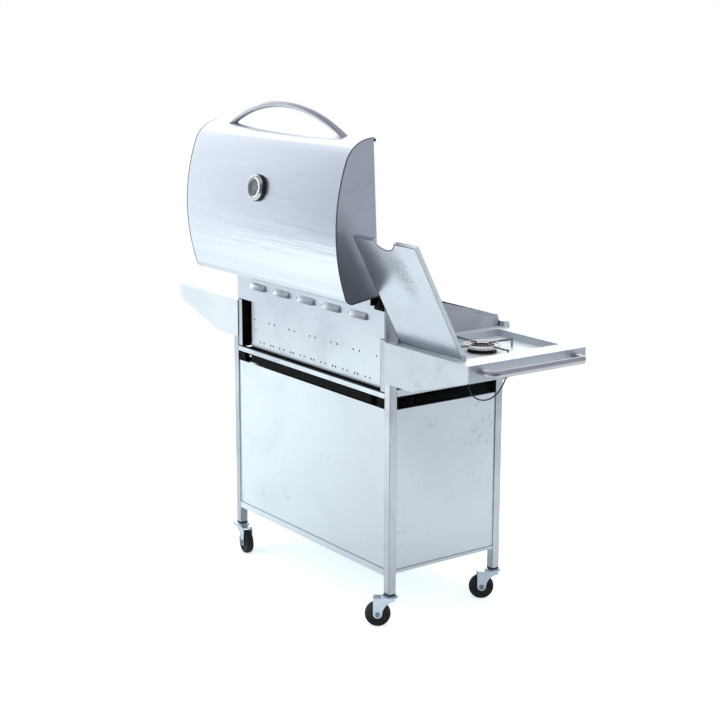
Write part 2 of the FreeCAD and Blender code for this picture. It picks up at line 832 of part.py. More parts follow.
def towel_bar():
    z = shelf_top - towel_drop
    bend = towel_standoff / 2
    wall = -shelf_end
    plate = gauge * 2
    straight = towel_half - bend
    pieces = [rod(towel_radius, (wall - towel_standoff, -straight, z), straight * 2, "y")]
    for side in SIDES:
        y = straight * side
        pieces.append(ring_bend(bend, towel_radius, (wall - bend, y, z), 90 if side > 0 else 180, 90))
        pieces.append(rod(towel_radius, (wall - bend, towel_half * side, z), bend, "x"))
        pieces.append(rod(towel_radius * 1.15, (wall - plate, towel_half * side, z), plate, "x"))
    return fuse(pieces)


def side_burner_body():
    floor = shelf_top - recess_depth
    x, y = left_burner_x, left_burner_y
    pot = rod(pot_radius, (x, y, floor - pot_drop), pot_drop + pot_rise)
    flange = rod(ring_radius - 3, (x, y, floor), 2)
    venturi = rod(9, (x, -half_depth + 16, side_knob_height), y + half_depth - 16, "y")
    valve = rod(11, (x, -half_depth, side_knob_height), 18, "y")
    bore = rod(spindle_radius + running, (x, -half_depth, side_knob_height), 17, "y")
    return cut(fuse([pot, flange, venturi, valve]), [bore])


def side_burner_cap():
    base = shelf_top - recess_depth + pot_rise
    rim = ring_radius
    crown = lathe([(0, 0), (rim - 2, 0), (rim, 2), (rim, 5), (rim - 2, 7), (rim - 9, 7), (rim - 12, 3), (0, 3)])
    return place(crown, left_burner_x, left_burner_y, base)


def pot_support():
    floor = shelf_top - recess_depth
    level = floor + pot_rise + 11
    x, y = left_burner_x, left_burner_y
    inner = ring_radius * 0.6
    knuckle = wire_radius * 1.15
    pieces = [ring_bend(ring_radius + ring_gap, wire_radius, (x, y, level - wire_radius * 0.7), 45, 360)]
    for side in SIDES:
        near = span(side, inner, pot_reach)[0]
        far = pot_reach * side
        pieces.append(rod(wire_radius, (x + near, y, level), pot_reach - inner, "x"))
        pieces.append(rod(wire_radius, (x + far, y, floor), level - floor))
        pieces.append(ball(knuckle, (x + far, y, level)))
        pieces.append(rod(wire_radius, (x, y + near, level), pot_reach - inner, "y"))
        pieces.append(rod(wire_radius, (x, y + far, floor), level - floor))
        pieces.append(ball(knuckle, (x, y + far, level)))
    return fuse(pieces)


node(shelf(-1, True), "side_burner_shelf")
node(shelf(1, False), "right_shelf")
node(towel_bar(), "towel_bar")
node(side_burner_body(), "side_burner_body")
node(side_burner_cap(), "side_burner_cap")
node(pot_support(), "pot_support")


# Igniter lead: a free loop under the side-burner tray, between two grommets

LEAD_X = left_burner_x.value - 40.5
TRAY_UNDER = (shelf_under - recess_depth).value
LEAD_SAG = [(86.0, 8.0), (86.0, 37.5), (81.0, 69.5), (70.0, 99.5), (48.0, 119.5), (19.0, 128.5),
            (-11.0, 124.5), (-36.0, 107.5), (-55.0, 80.5), (-66.0, 48.5), (-66.0, 8.0)]
LEAD_ROUTE = [(LEAD_X, y, TRAY_UNDER - drop) for y, drop in LEAD_SAG]
GROMMET_RADIUS = 5.0


def igniter_lead():
    points = [Vector(*point) for point in LEAD_ROUTE]
    edges = []
    here = points[0]
    for before, corner, after in zip(points, points[1:], points[2:]):
        back = before - corner
        ahead = after - corner
        turn = math.pi - back.getAngle(ahead)
        trim = 0.45 * min(back.Length, ahead.Length)
        radius = trim / math.tan(turn / 2)
        print(f"igniter lead bend radius {radius:.1f} mm")
        arc_start = corner + back.normalize() * trim
        arc_end = corner + ahead.normalize() * trim
        bisector = (back + ahead).normalize()
        middle = corner + bisector * (radius / math.cos(turn / 2) - radius)
        edges.append(Part.LineSegment(here, arc_start).toShape())
        edges.append(Part.Arc(arc_start, middle, arc_end).toShape())
        here = arc_end
    edges.append(Part.LineSegment(here, points[-1]).toShape())
    path = Part.Wire(edges)
    radius = float(sheet.lead_radius)
    start = Part.Circle(points[0], points[1] - points[0], radius).toShape()
    tube = path.makePipeShell([Part.Wire([start])], True, False)
    ideal = math.pi * radius * radius * path.Length
    print(f"igniter lead length {path.Length:.1f} mm, volume {tube.Volume:.0f} of {ideal:.0f} mm3")
    lead = doc.addObject("Part::Feature", "lead")
    lead.Shape = tube
    return lead


def lead_grommets():
    floor = shelf_under - recess_depth
    collars = []
    for point in (LEAD_ROUTE[0], LEAD_ROUTE[-1]):
        collars.append(rod(GROMMET_RADIUS, (point[0], point[1], point[2]), floor - point[2]))
    return group(collars)


node(igniter_lead(), "igniter_lead")
node(lead_grommets(), "lead_grommets")


# Side-burner lid and its hinge ears

lid_pivot_y = half_depth + gauge - lid_pivot_back
lid_pivot_z = shelf_top + lid_pivot_rise
lid_pin = size(2.5)
lid_x = (-(half_width + lid_inner + lid_width), -(half_width + lid_inner))


def side_lid_hinges():
    ears = []
    gap = gauge
    for side, edge in ((1, lid_x[1]), (-1, lid_x[0])):
        xs = (edge + gap, edge + gap + 3) if side > 0 else (edge - gap - 3, edge - gap)
        plate = slab(xs, (lid_pivot_y - 8, lid_pivot_y + 8), (shelf_top, lid_pivot_z + 6))
        start = edge - 6 if side > 0 else edge - gap - 3
        pin = rod(lid_pin, (start, lid_pivot_y, lid_pivot_z), gap + 9, "x")
        ears.append(fuse([plate, pin]))
    return group(ears)


def side_burner_lid():
    low = rest_gap - lid_pivot_rise
    heel = 5
    free = size(heel) - lid_length
    pan = slab(lid_x, (free, heel), (low, low + lid_edge))
    hollow = slab((lid_x[0] + gauge, lid_x[1] - gauge), (free + gauge, heel - gauge), (low, low + lid_edge - gauge))
    middle = (lid_x[0] + lid_x[1]) / 2
    notch = rod(notch_radius, (middle, free - notch_radius + notch_depth, low), lid_edge)
    holes = [rod(lid_pin + running, (lid_x[0], 0, 0), gauge, "x"),
             rod(lid_pin + running, (lid_x[1] - gauge, 0, 0), gauge, "x")]
    relief = slab(lid_x, (0, heel), (low, -heel))
    lid = cut(pan, [fuse([hollow, notch]), relief] + holes)
    return place(lid, 0, lid_pivot_y, lid_pivot_z, axis=(-1, 0, 0), angle=lid_turn)


node(side_lid_hinges(), "side_lid_hinges")
node(side_burner_lid(), "side_burner_lid")


# Hood: drawn level, as (y, z) from its pivot, then turned open

pivot_y = half_depth + pivot_back
hood_half = inner_width + hood_over
strap_middle = wall_inner - strap_width / 2 - ear_width - gauge


def hood_frame(thing):
    return place(thing, 0, pivot_y, pivot_height, axis=(-1, 0, 0), angle=hood_turn)


def crown_height(y, inset):
    reach = crown_radius - inset
    return root(reach * reach - (y + crown_back) * (y + crown_back)) - crown_drop


def hood_prism(inset, low, start, width):
    # the hood's section, shrunk by inset, from the crown down to the level low
    slope = (heel_out - rim_out) / (heel_height - hood_rim)
    heel_foot = rim_out - inset - (hood_rim - low) * slope
    front = -hood_depth + inset
    rear_crown = -crown_rear
    front_crown = -crown_front + inset * 0.4
    points = [(heel_foot, low), (heel_out - inset, heel_height), (rear_crown, crown_height(rear_crown, inset)),
              (front_crown, crown_height(front_crown, inset)), (front, hood_rim)]
    arcs = {1: heel_radius - inset, 2: crown_radius - inset, 3: brow_radius - inset}
    if size(low).value < hood_rim.value:
        points.append((front, low))
    return prism("YZ", points, start, width, arcs)


gauge_y = -gauge_back
gauge_z = crown_height(gauge_y, size(0))
gauge_lean = arc_sine((gauge_back - crown_back) / crown_radius)


def hood_shell():
    block = hood_prism(size(0), hood_rim, -hood_half, hood_half * 2)
    core = hood_prism(gauge, hood_rim - 10, -hood_half, hood_half * 2)
    port = place(rod(stem_radius + rest_gap, (0, 0, 0), 30), 0, gauge_y, gauge_z - 15)
    return hood_frame(cut(block, [core, port]))


def hood_end_caps():
    caps = []
    for side in SIDES:
        xs = span(side, hood_half - cap_inset - gauge, hood_half - cap_inset)
        caps.append(hood_prism(gauge, hood_rim, xs[0], gauge))
    return hood_frame(group(caps))


def hood_handle():
    radius = (handle_half * handle_half + handle_rise * handle_rise) / (handle_rise * 2)
    sweep = arc_sine(handle_half / radius) * 2 + 4
    centre_y = -(hood_depth - 8 + handle_rise - radius)
    bow = ring_bend(radius, handle_radius, (0, centre_y, handle_level), 270 - sweep / 2, sweep)
    block = hood_prism(size(0), hood_rim - 60, -hood_half, hood_half * 2)
    return hood_frame(cut(bow, [block]))


def hood_bumpers():
    feet = []
    for side in SIDES:
        x = (hood_half - cap_inset - gauge * 2.5) * side
        feet.append(rod(bumper_radius, (x, -hood_depth + 8, hood_rim - bumper_height), bumper_height))
    return hood_frame(group(feet))


def hood_hinge_straps():
    slope = (heel_out - rim_out) / (heel_height - hood_rim)
    top = heel_height - 13
    top_y = rim_out + (top - hood_rim) * slope
    straps = []
    for side in SIDES:
        start = strap_middle * side - strap_width / 2
        outline = [(rim_out, hood_rim), (-6, 2), (knuckle_radius, 2), (top_y + strap_gauge, top), (top_y, top)]
        plate = prism("YZ", outline, start, strap_width)
        knuckle = rod(knuckle_radius, (start, 0, 0), strap_width, "x")
        bore = rod(pin_radius + running, (start, 0, 0), strap_width, "x")
        straps.append(cut(fuse([plate, knuckle]), [bore]))
    return hood_frame(group(straps))


def hood_hinge_brackets():
    brackets = []
    base = 4
    reach = strap_width / 2 + gauge / 2
    for side in SIDES:
        middle = strap_middle * side
        xs = (middle - reach - ear_width, middle + reach + ear_width)
        low = pivot_height - bracket_drop
        pieces = [slab(xs, (band_face, band_face + base), (low, pivot_height - 15))]
        for start in (xs[0], xs[1] - ear_width):
            pieces.append(slab((start, start + ear_width), (band_face, pivot_y + knuckle_radius),
                               (low + 12, pivot_height)))
            pieces.append(rod(knuckle_radius, (start, pivot_y, pivot_height), ear_width, "x"))
        pieces.append(rod(pin_radius, (xs[0], pivot_y, pivot_height), xs[1] - xs[0], "x"))
        brackets.append(fuse(pieces))
    return group(brackets)


node(hood_shell(), "hood_shell")
node(hood_end_caps(), "hood_end_caps")
node(hood_handle(), "hood_handle")
node(hood_bumpers(), "hood_bumpers")
node(hood_hinge_straps(), "hood_hinge_straps")
node(hood_hinge_brackets(), "hood_hinge_brackets")


# Thermometer on the hood: drawn about Z, then set square to the crown

gauge_turn = hood_turn - gauge_lean
gauge_place = (0, pivot_y + gauge_y * cosine(hood_turn) + gauge_z * sine(hood_turn),
               pivot_height - gauge_y * sine(hood_turn) + gauge_z * cosine(hood_turn))
needle_pin = size(1.2)
dial_level = size(6)


def gauge_frame(thing):
    return place(thing, *gauge_place, axis=(-1, 0, 0), angle=gauge_turn)


def thermometer_case():
    lip = glass_radius - 2
    top = case_depth
    outline = [(0, -stem_length), (stem_radius, -stem_length), (stem_radius, rest_gap), (case_radius, rest_gap),
               (case_radius, 3), (case_front, top), (lip, top), (lip, top - 2), (glass_radius, top - 2),
               (glass_radius, dial_level), (0, dial_level)]
    return gauge_frame(lathe(outline))


def thermometer_dial():
    plate = rod(glass_radius - 0.1, (0, 0, dial_level), 1)
    post_pin = rod(needle_pin, (0, 0, dial_level), 5.5)
    return gauge_frame(fuse([plate, post_pin]))


def thermometer_lens():
    return gauge_frame(group([rod(glass_radius - 0.1, (0, 0, case_depth - 4.2), 2)]))


def thermometer_needle():
    level = dial_level + 1 + rest_gap
    hub = rod(needle_pin * 2.5, (0, 0, level), 3)
    arm = slab((-1, 1), (-8, glass_radius - 6), (level + 1, level + 2))
    bore = rod(needle_pin + running, (0, 0, level), 3)
    pointer = place(cut(fuse([hub, arm]), [bore]), angle=135)
    return gauge_frame(group([pointer]))


node(thermometer_case(), "thermometer_case")
node(thermometer_dial(), "thermometer_dial")
node(thermometer_lens(), "thermometer_lens")
node(thermometer_needle(), "thermometer_needle")


# Grease tray on its runners, drawn out to the rear

def tray_runners():
    lip_top = grease_low + grease_deep - gauge - rest_gap
    web_out = grease_half + grease_lip * 2 + 2
    ends = half_depth - rail_depth
    runners = []
    for side in SIDES:
        lip = slab(span(side, grease_half + 2, web_out), (-ends, ends), (lip_top - gauge, lip_top))
        web = slab(span(side, web_out - gauge, web_out), (-ends, ends), (lip_top - gauge, top_rail_low + top_rail))
        hanger = slab(span(side, web_out, wall_inner), (ends - 4, half_depth - gauge), (panel_high + 1, top_rail_low))
        runners.append(fuse([lip, web, hanger]))
    return group(runners)


def grease_tray():
    ys = (-post_inner + 10, half_depth - panel_inset - gauge)
    top = grease_low + grease_deep
    pan = slab((-grease_half, grease_half), ys, (grease_low, top))
    rim = slab((-(grease_half + grease_lip), grease_half + grease_lip), ys, (top - gauge, top))
    hollow = slab((-grease_half + gauge, grease_half - gauge), (ys[0] + gauge, ys[1] - gauge), (grease_low + gauge, top))
    return cut(fuse([pan, rim]), [hollow])


node(tray_runners(), "tray_runners")
node(grease_tray(), "grease_tray")


# Doors on vertical pins

door_x = inner_width - door_gap
pivot_x = door_x - door_pivot_in
door_front = -half_depth + gauge
door_low = panel_low + 4
door_high = top_rail_low - 4
door_axis_y = door_front + door_depth / 2


def door(side):
    pan = slab(span(side, 1, door_x), (door_front, door_front + door_depth), (door_low, door_high))
    hollow = slab(span(side, gauge + 1, door_x - gauge), (door_front + gauge, door_front + door_depth),
                  (door_low + gauge, door_high - gauge))
    holes = [rod(door_pin + running, (pivot_x * side, door_axis_y, z), gauge) for z in (door_low, door_high - gauge)]
    return cut(pan, [hollow] + holes)


def door_handle(side):
    x = door_gap * 12 * side
    middle = (door_low + door_high) / 2 + 100
    bar_y = door_front - handle_stand
    pieces = [rod(handle_bar, (x, bar_y, middle - handle_length / 2), handle_length)]
    for up in SIDES:
        z = middle + (handle_length / 2 - 20) * up
        pieces.append(rod(handle_bar * 0.8, (x, bar_y, z), handle_stand, "y"))
    return fuse(pieces)


def door_pivots():
    pins = []
    for side in SIDES:
        xs = (pivot_x * side - 8, pivot_x * side + 8)
        ys = (door_front, -half_depth + rail_depth)
        low = slab(xs, ys, (panel_low, door_low - rest_gap))
        high = slab(xs, ys, (door_high + rest_gap, top_rail_low))
        centre = (pivot_x * side, door_axis_y)
        low_pin = rod(door_pin, (*centre, panel_low), door_low - panel_low + 10)
        high_pin = rod(door_pin, (*centre, door_high - 10), top_rail_low - door_high + 10)
        pins += [fuse([low, low_pin]), fuse([high, high_pin])]
    return group(pins)


node(door_pivots(), "door_pivots")
for side, name in ((-1, "left"), (1, "right")):
    node(group([door(side), door_handle(side)]), f"{name}_door")


# Casters: drawn with the wheel trailing along +X, then turned about their stem

crown_top = post_foot - plug_depth - rest_gap
crown_low = crown_top - 9
leg_inner = wheel_width / 2 + fork_gap
leg_outer = leg_inner + fork_gauge


def caster_frame(thing, across, back, heading):
    return place(thing, (half_width - post / 2) * across, (half_depth - post / 2) * back, 0, angle=heading)


def fork(with_brake):
    stem = rod(caster_stem, (0, 0, crown_low), post_foot + post - 4 - crown_low)
    race = lathe([(0, 3), (24, 3), (24, 6), (17, 9), (0, 9)])
    place(race, 0, 0, crown_low)
    front = -16
    rear = caster_trail + hub_plate
    top = crown_low + 3
    bridge = slab((front, rear), (-leg_outer, leg_outer), (crown_low, top))
    pieces = [stem, race, bridge]
    outline = [(front, top - 10), (caster_trail - hub_plate, wheel_radius), (rear, wheel_radius), (rear, top),
               (front, top)]
    scoop_radius = crown_low - wheel_radius - 7
    scoop_x = caster_trail - hub_plate - scoop_radius
    for start in (-leg_outer, leg_inner):
        cheek = prism("XZ", outline, start + fork_gauge, fork_gauge, {1: hub_plate * 1.02})
        scoop = rod(scoop_radius, (scoop_x, start, wheel_radius), fork_gauge, "y")
        pieces.append(cut(cheek, [scoop]))
    pieces.append(rod(axle_radius, (caster_trail, -leg_outer - 3, wheel_radius), leg_outer * 2 + 6, "y"))
    for start in (-leg_outer - 3, leg_outer):
        pieces.append(rod(axle_radius + 3, (caster_trail, start, wheel_radius), 3, "y"))
    if with_brake:
        for start in (-leg_outer, leg_inner):
            pieces.append(slab((-26, -13), (start, start + fork_gauge), (crown_low - 9, crown_low + 1)))
        pieces.append(rod(2, (-20, -leg_outer, crown_low - 4), leg_outer * 2, "y"))
    return fuse(pieces)


def wheel():
    half = wheel_width / 2
    bore = axle_radius + running
    hub = half + fork_gap - rest_gap
    outline = [(bore, -hub), (12, -hub), (12, -half + 2), (wheel_radius - 11, -half + 2), (wheel_radius - 8, -half),
               (wheel_radius - 4, -half), (wheel_radius, -half + 6), (wheel_radius, half - 6),
               (wheel_radius - 4, half), (wheel_radius - 8, half), (wheel_radius - 11, half - 2), (12, half - 2),
               (12, hub), (bore, hub)]
    turned = lathe(outline)
    return group([place(turned, caster_trail, 0, wheel_radius, axis=(1, 0, 0), angle=90)])


def brake_pedal():
    half = leg_inner - rest_gap
    boss = rod(5, (-20, -half, crown_low - 4), half * 2, "y")
    tread = slab((-44, -20), (-half, half), (crown_low - 9, crown_low - 5))
    bore = rod(2 + running, (-20, -half, crown_low - 4), half * 2, "y")
    return cut(fuse([boss, tread]), [bore])


CASTERS = {"rear_left": (-1, 1, 52, False), "front_left": (-1, -1, 56, False),
           "rear_right": (1, 1, 170, True), "front_right": (1, -1, 205, True)}
for name, (across, back, heading, braked) in CASTERS.items():
    node(caster_frame(fork(braked), across, back, heading), f"{name}_caster_fork")
    node(caster_frame(wheel(), across, back, heading), f"{name}_caster_wheel")
    if braked:
        node(caster_frame(brake_pedal(), across, back, heading), f"{name}_caster_brake")


# Check and write

doc.recompute()
for thing in doc.Objects:
    if "Invalid" in thing.State or "Error" in thing.State:
        raise RuntimeError(f"{thing.Label} failed: {thing.State}")
for thing in nodes:
    shape = thing.Shape
    if shape.isNull() or not shape.isValid() or not shape.Solids:
        raise RuntimeError(f"{thing.Label} has no valid solid")
for thing in nodes:
    thing.Shape.exportStep(f"parts/{thing.Label}.step")
print(f"{len(nodes)} nodes, {sum(len(thing.Shape.Solids) for thing in nodes)} solids")
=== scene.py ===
# %% [markdown]
# # A gas grill on casters
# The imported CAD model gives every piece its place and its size. This lesson dresses that model: it sets
# the photograph's camera, hangs the loose igniter lead, and then gives each piece its edges and finish.

# %% Load the frame
import json
import math

import bmesh
import bpy
from mathutils import Matrix, Quaternion, Vector

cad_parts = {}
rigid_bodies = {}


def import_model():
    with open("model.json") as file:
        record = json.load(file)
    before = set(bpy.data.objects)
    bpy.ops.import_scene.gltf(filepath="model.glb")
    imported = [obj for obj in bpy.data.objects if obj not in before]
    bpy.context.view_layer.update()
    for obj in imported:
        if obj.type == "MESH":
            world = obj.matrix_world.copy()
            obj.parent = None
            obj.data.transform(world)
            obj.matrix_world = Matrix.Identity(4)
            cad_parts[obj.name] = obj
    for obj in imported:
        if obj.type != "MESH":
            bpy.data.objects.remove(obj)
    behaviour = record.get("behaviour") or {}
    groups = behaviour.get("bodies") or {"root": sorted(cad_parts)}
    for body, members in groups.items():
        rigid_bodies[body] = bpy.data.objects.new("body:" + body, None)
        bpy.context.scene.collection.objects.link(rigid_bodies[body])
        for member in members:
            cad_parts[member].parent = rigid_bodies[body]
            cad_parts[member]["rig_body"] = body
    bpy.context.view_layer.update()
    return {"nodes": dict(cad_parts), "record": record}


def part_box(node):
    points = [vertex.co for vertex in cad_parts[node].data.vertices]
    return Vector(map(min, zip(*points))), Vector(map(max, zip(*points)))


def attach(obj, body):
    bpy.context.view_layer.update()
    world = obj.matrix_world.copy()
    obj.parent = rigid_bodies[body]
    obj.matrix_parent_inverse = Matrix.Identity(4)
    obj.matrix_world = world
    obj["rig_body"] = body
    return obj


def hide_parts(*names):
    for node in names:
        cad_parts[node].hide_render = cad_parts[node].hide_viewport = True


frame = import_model()
cad_nodes = frame["nodes"]
body_of_node = {node: thing["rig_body"] for node, thing in cad_nodes.items()}
scene = bpy.context.scene
MM = 0.001
print(len(cad_nodes), "pieces from CAD")

# %% [markdown]
# ## The camera
# The photograph looks at the rear of the grill from the user's left, a little above the shelf. Its
# angle, distance and lens were fitted to the posts, the shelf and the hood's corners, so a long lens
# stands almost five metres away.

# %% Place the camera
AIM = Vector((0.0501, -0.0255, 0.6721))
DISTANCE = 4.9565
AZIMUTH = math.radians(54.368)
ELEVATION = math.radians(12.753)
ROLL = math.radians(0.103)
SENSOR_WIDTH = 36
FOCAL_LENGTH = 80.2

back = Vector((-math.sin(AZIMUTH) * math.cos(ELEVATION), math.cos(AZIMUTH) * math.cos(ELEVATION),
               math.sin(ELEVATION)))
camera = bpy.data.objects.new("photo_camera", bpy.data.cameras.new("photo_camera"))
camera.data.sensor_width = SENSOR_WIDTH
camera.data.lens = FOCAL_LENGTH
camera.location = AIM + back * DISTANCE
camera.rotation_mode = "QUATERNION"
camera.rotation_quaternion = (-back).to_track_quat("-Z", "Y") @ Quaternion((0, 0, 1), ROLL)
scene.collection.objects.link(camera)
scene.camera = camera
print("camera at", tuple(round(value, 3) for value in camera.location))

# %% [markdown]
# ## The igniter lead
# A thin black wire leaves one grommet under the side-burner tray, hangs in a loop and goes back in at
# the other. It is a smooth NURBS curve with a round bevel, and its control points are the CAD route.

# %% Hang the lead
LEAD_X = -0.600
TRAY_UNDER = 0.8115
LEAD_SAG = [(0.086, 0.008), (0.086, 0.0375), (0.081, 0.0695), (0.070, 0.0995), (0.048, 0.1195),
            (0.019, 0.1285), (-0.011, 0.1245), (-0.036, 0.1075), (-0.055, 0.0805), (-0.066, 0.0485),
            (-0.066, 0.008)]
LEAD_ROUTE = [(LEAD_X, y, TRAY_UNDER - drop) for y, drop in LEAD_SAG]
LEAD_DIAMETER = 0.004

lead_curve = bpy.data.curves.new("igniter_wire", "CURVE")
lead_curve.dimensions = "3D"
lead_curve.bevel_depth = 1.0
lead_curve.bevel_resolution = 4
lead_curve.use_fill_caps = True
strand = lead_curve.splines.new("NURBS")
strand.points.add(len(LEAD_ROUTE) - 1)
for point, place in zip(strand.points, LEAD_ROUTE):
    point.co = (*place, 1)
    point.radius = LEAD_DIAMETER / 2
strand.order_u = 3
strand.use_endpoint_u = True
strand.resolution_u = 12
lead = bpy.data.objects.new("igniter_wire", lead_curve)
scene.collection.objects.link(lead)
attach(lead, "cart")
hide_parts("igniter_lead")
print("lead with", len(LEAD_ROUTE), "points")

# %% [markdown]
# ## Light and floor
# The photograph was cut out on white, so the camera sees a white world. Metal shows what it mirrors, and
# a white room would make it flat. The world seen in the metal is a colour ramp instead: dark on one side,
# bright on the other, with the brightest band where the top of the hood mirrors it. A second ramp dims
# the middle heights. Broad lamps and a pale floor do the rest. The floor glows just enough to melt into
# the white, and keeps the shadow.

# %% Set the world
scene.view_settings.view_transform = "Standard"
world = bpy.data.worlds.new("white_studio")
scene.world = world
world.use_nodes = True
sky = world.node_tree
sky.nodes.clear()


def add_node(tree, kind, **settings):
    made = tree.nodes.new(kind)
    for name, value in settings.items():
        setattr(made, name, value)
    return made


def feed(tree, pairs):
    for source, target in pairs:
        tree.links.new(source, target)


def ramp_node(tree, low, stops):
    span = add_node(tree, "ShaderNodeMapRange")
    span.inputs["From Min"].default_value = low
    ramp = add_node(tree, "ShaderNodeValToRGB")
    first, last = stops[0], stops[-1]
    ramp.color_ramp.elements[0].position = (first[0] - low) / (1 - low)
    ramp.color_ramp.elements[1].position = (last[0] - low) / (1 - low)
    for value, color in stops[1:-1]:
        ramp.color_ramp.elements.new((value - low) / (1 - low)).color = (*color, 1)
    ramp.color_ramp.elements[0].color = (*first[1], 1)
    ramp.color_ramp.elements[len(stops) - 1].color = (*last[1], 1)
    tree.links.new(span.outputs["Result"], ramp.inputs["Fac"])
    return span.inputs["Value"], ramp.outputs["Color"]


GLARE_SIDE = (0.84, -0.25, 0.0)
SIDE_STOPS = [(-0.85, (0.10, 0.10, 0.12)), (-0.68, (0.22, 0.23, 0.26)), (-0.50, (0.46, 0.48, 0.54)),
              (0.48, (0.30, 0.32, 0.37)), (0.54, (0.38, 0.41, 0.47)), (0.575, (0.93, 1.01, 1.09)),
              (0.61, (1.20, 1.27, 1.34)), (0.65, (0.92, 0.98, 1.04)), (0.70, (2.05, 2.08, 2.10)),
              (0.77, (1.95, 1.97, 1.98)), (0.86, (1.30, 1.34, 1.36))]
HEIGHT_STOPS = [(0.30, (1.0, 1.0, 1.0)), (0.50, (0.72, 0.72, 0.73)), (0.80, (1.25, 1.25, 1.25))]
direction = add_node(sky, "ShaderNodeTexCoord")
lean = add_node(sky, "ShaderNodeVectorMath", operation="DOT_PRODUCT")
lean.inputs[1].default_value = GLARE_SIDE
side_in, side_out = ramp_node(sky, -1, SIDE_STOPS)
parts = add_node(sky, "ShaderNodeSeparateXYZ")
height_in, height_out = ramp_node(sky, -1, HEIGHT_STOPS)
glare = add_node(sky, "ShaderNodeMix", data_type="RGBA", blend_type="MULTIPLY")
glare.inputs["Factor"].default_value = 1.0
rays = add_node(sky, "ShaderNodeLightPath")
mirrored = add_node(sky, "ShaderNodeMath", operation="MAXIMUM")
ambient = add_node(sky, "ShaderNodeBackground")
ambient.inputs["Color"].default_value = (0.95, 0.98, 1.0, 1)
ambient.inputs["Strength"].default_value = 0.62
reflected = add_node(sky, "ShaderNodeBackground")
white = add_node(sky, "ShaderNodeBackground")
white.inputs["Color"].default_value = (1, 1, 1, 1)
for_metal = add_node(sky, "ShaderNodeMixShader")
for_camera = add_node(sky, "ShaderNodeMixShader")
sky_out = add_node(sky, "ShaderNodeOutputWorld")
feed(sky, [(direction.outputs["Generated"], lean.inputs[0]), (lean.outputs["Value"], side_in),
           (direction.outputs["Generated"], parts.inputs["Vector"]), (parts.outputs["Z"], height_in),
           (side_out, glare.inputs["A"]), (height_out, glare.inputs["B"]),
           (glare.outputs["Result"], reflected.inputs["Color"]),
           (rays.outputs["Is Glossy Ray"], mirrored.inputs[0]),
           (rays.outputs["Is Transmission Ray"], mirrored.inputs[1]),
           (mirrored.outputs["Value"], for_metal.inputs["Fac"]),
           (ambient.outputs["Background"], for_metal.inputs[1]),
           (reflected.outputs["Background"], for_metal.inputs[2]),
           (rays.outputs["Is Camera Ray"], for_camera.inputs["Fac"]),
           (for_metal.outputs["Shader"], for_camera.inputs[1]),
           (white.outputs["Background"], for_camera.inputs[2]),
           (for_camera.outputs["Shader"], sky_out.inputs["Surface"])])
print("world with", len(sky.nodes), "nodes")

# %% Hang the lamps
LAMPS = {"rear_softbox": ((1.6, 3.2, 2.6), 2.4, 38), "left_softbox": ((-3.4, 0.4, 2.2), 2.0, 21),
         "top_softbox": ((0.0, 0.3, 3.6), 2.2, 50)}
LAMP_AIM = Vector((0, 0, 0.8))
for name, (spot, width, power) in LAMPS.items():
    lamp = bpy.data.lights.new(name, "AREA")
    lamp.size = width
    lamp.energy = power
    holder = bpy.data.objects.new(name, lamp)
    holder.location = spot
    holder.rotation_mode = "QUATERNION"
    holder.rotation_quaternion = (LAMP_AIM - Vector(spot)).to_track_quat("-Z", "Y")
    holder.visible_glossy = False
    scene.collection.objects.link(holder)
print(len(LAMPS), "lamps")

# %% Lay the floor
FLOOR_RADIUS = 6.0
sheet = bmesh.new()
bmesh.ops.create_circle(sheet, cap_ends=True, segments=96, radius=FLOOR_RADIUS)
floor_mesh = bpy.data.meshes.new("pale_floor")
sheet.to_mesh(floor_mesh)
sheet.free()
floor = bpy.data.objects.new("pale_floor", floor_mesh)
scene.collection.objects.link(floor)
print("floor with a radius of", FLOOR_RADIUS, "m")

# %% [markdown]
# To the camera the paper glows and fades out a little way from the cart, so it melts into the white. In
# the metal it reaches farther and glows more towards the rear. It ends early on the camera's side, where
# the steel should mirror the world. A Light Path node tells the two apart.

# %% Finish the floor
CAMERA_LOSS = 2.4
PAPER_WHOLE = 1.4
PAPER_GONE = 3.2
CAMERA_SIDE = (-0.81, 0.58, 0.0)
REAR_SIDE = (0.2, 1.0, 0.0)
GLOW_SEEN = 0.60
GLOW_MIRRORED = (0.02, 0.34)
paper = bpy.data.materials.new("pale_paper")
paper.use_nodes = True
tree = paper.node_tree
tree.nodes.clear()
where = add_node(tree, "ShaderNodeTexCoord")
reach = add_node(tree, "ShaderNodeVectorMath", operation="LENGTH")
farther = add_node(tree, "ShaderNodeMath", operation="MULTIPLY_ADD")
farther.inputs[1].default_value = CAMERA_LOSS
fade = add_node(tree, "ShaderNodeMapRange")
fade.inputs["From Min"].default_value = PAPER_WHOLE + CAMERA_LOSS
fade.inputs["From Max"].default_value = PAPER_GONE + CAMERA_LOSS
towards = add_node(tree, "ShaderNodeVectorMath", operation="DOT_PRODUCT")
towards.inputs[1].default_value = CAMERA_SIDE
unlit = add_node(tree, "ShaderNodeMapRange")
unlit.inputs["From Min"].default_value = 1.2
unlit.inputs["From Max"].default_value = 1.7
not_seen = add_node(tree, "ShaderNodeMath", operation="SUBTRACT")
not_seen.inputs[0].default_value = 1.0
unlit_part = add_node(tree, "ShaderNodeMath", operation="MULTIPLY")
gone = add_node(tree, "ShaderNodeMath", operation="MAXIMUM")
matt = add_node(tree, "ShaderNodeBsdfDiffuse")
matt.inputs["Color"].default_value = (0.87, 0.92, 0.94, 1)
glow = add_node(tree, "ShaderNodeEmission")
glow.inputs["Color"].default_value = (0.93, 1.0, 1.0, 1)
along = add_node(tree, "ShaderNodeVectorMath", operation="DOT_PRODUCT")
along.inputs[1].default_value = REAR_SIDE
drift = add_node(tree, "ShaderNodeMapRange")
drift.inputs["From Min"].default_value = 1.3
drift.inputs["From Max"].default_value = 1.9
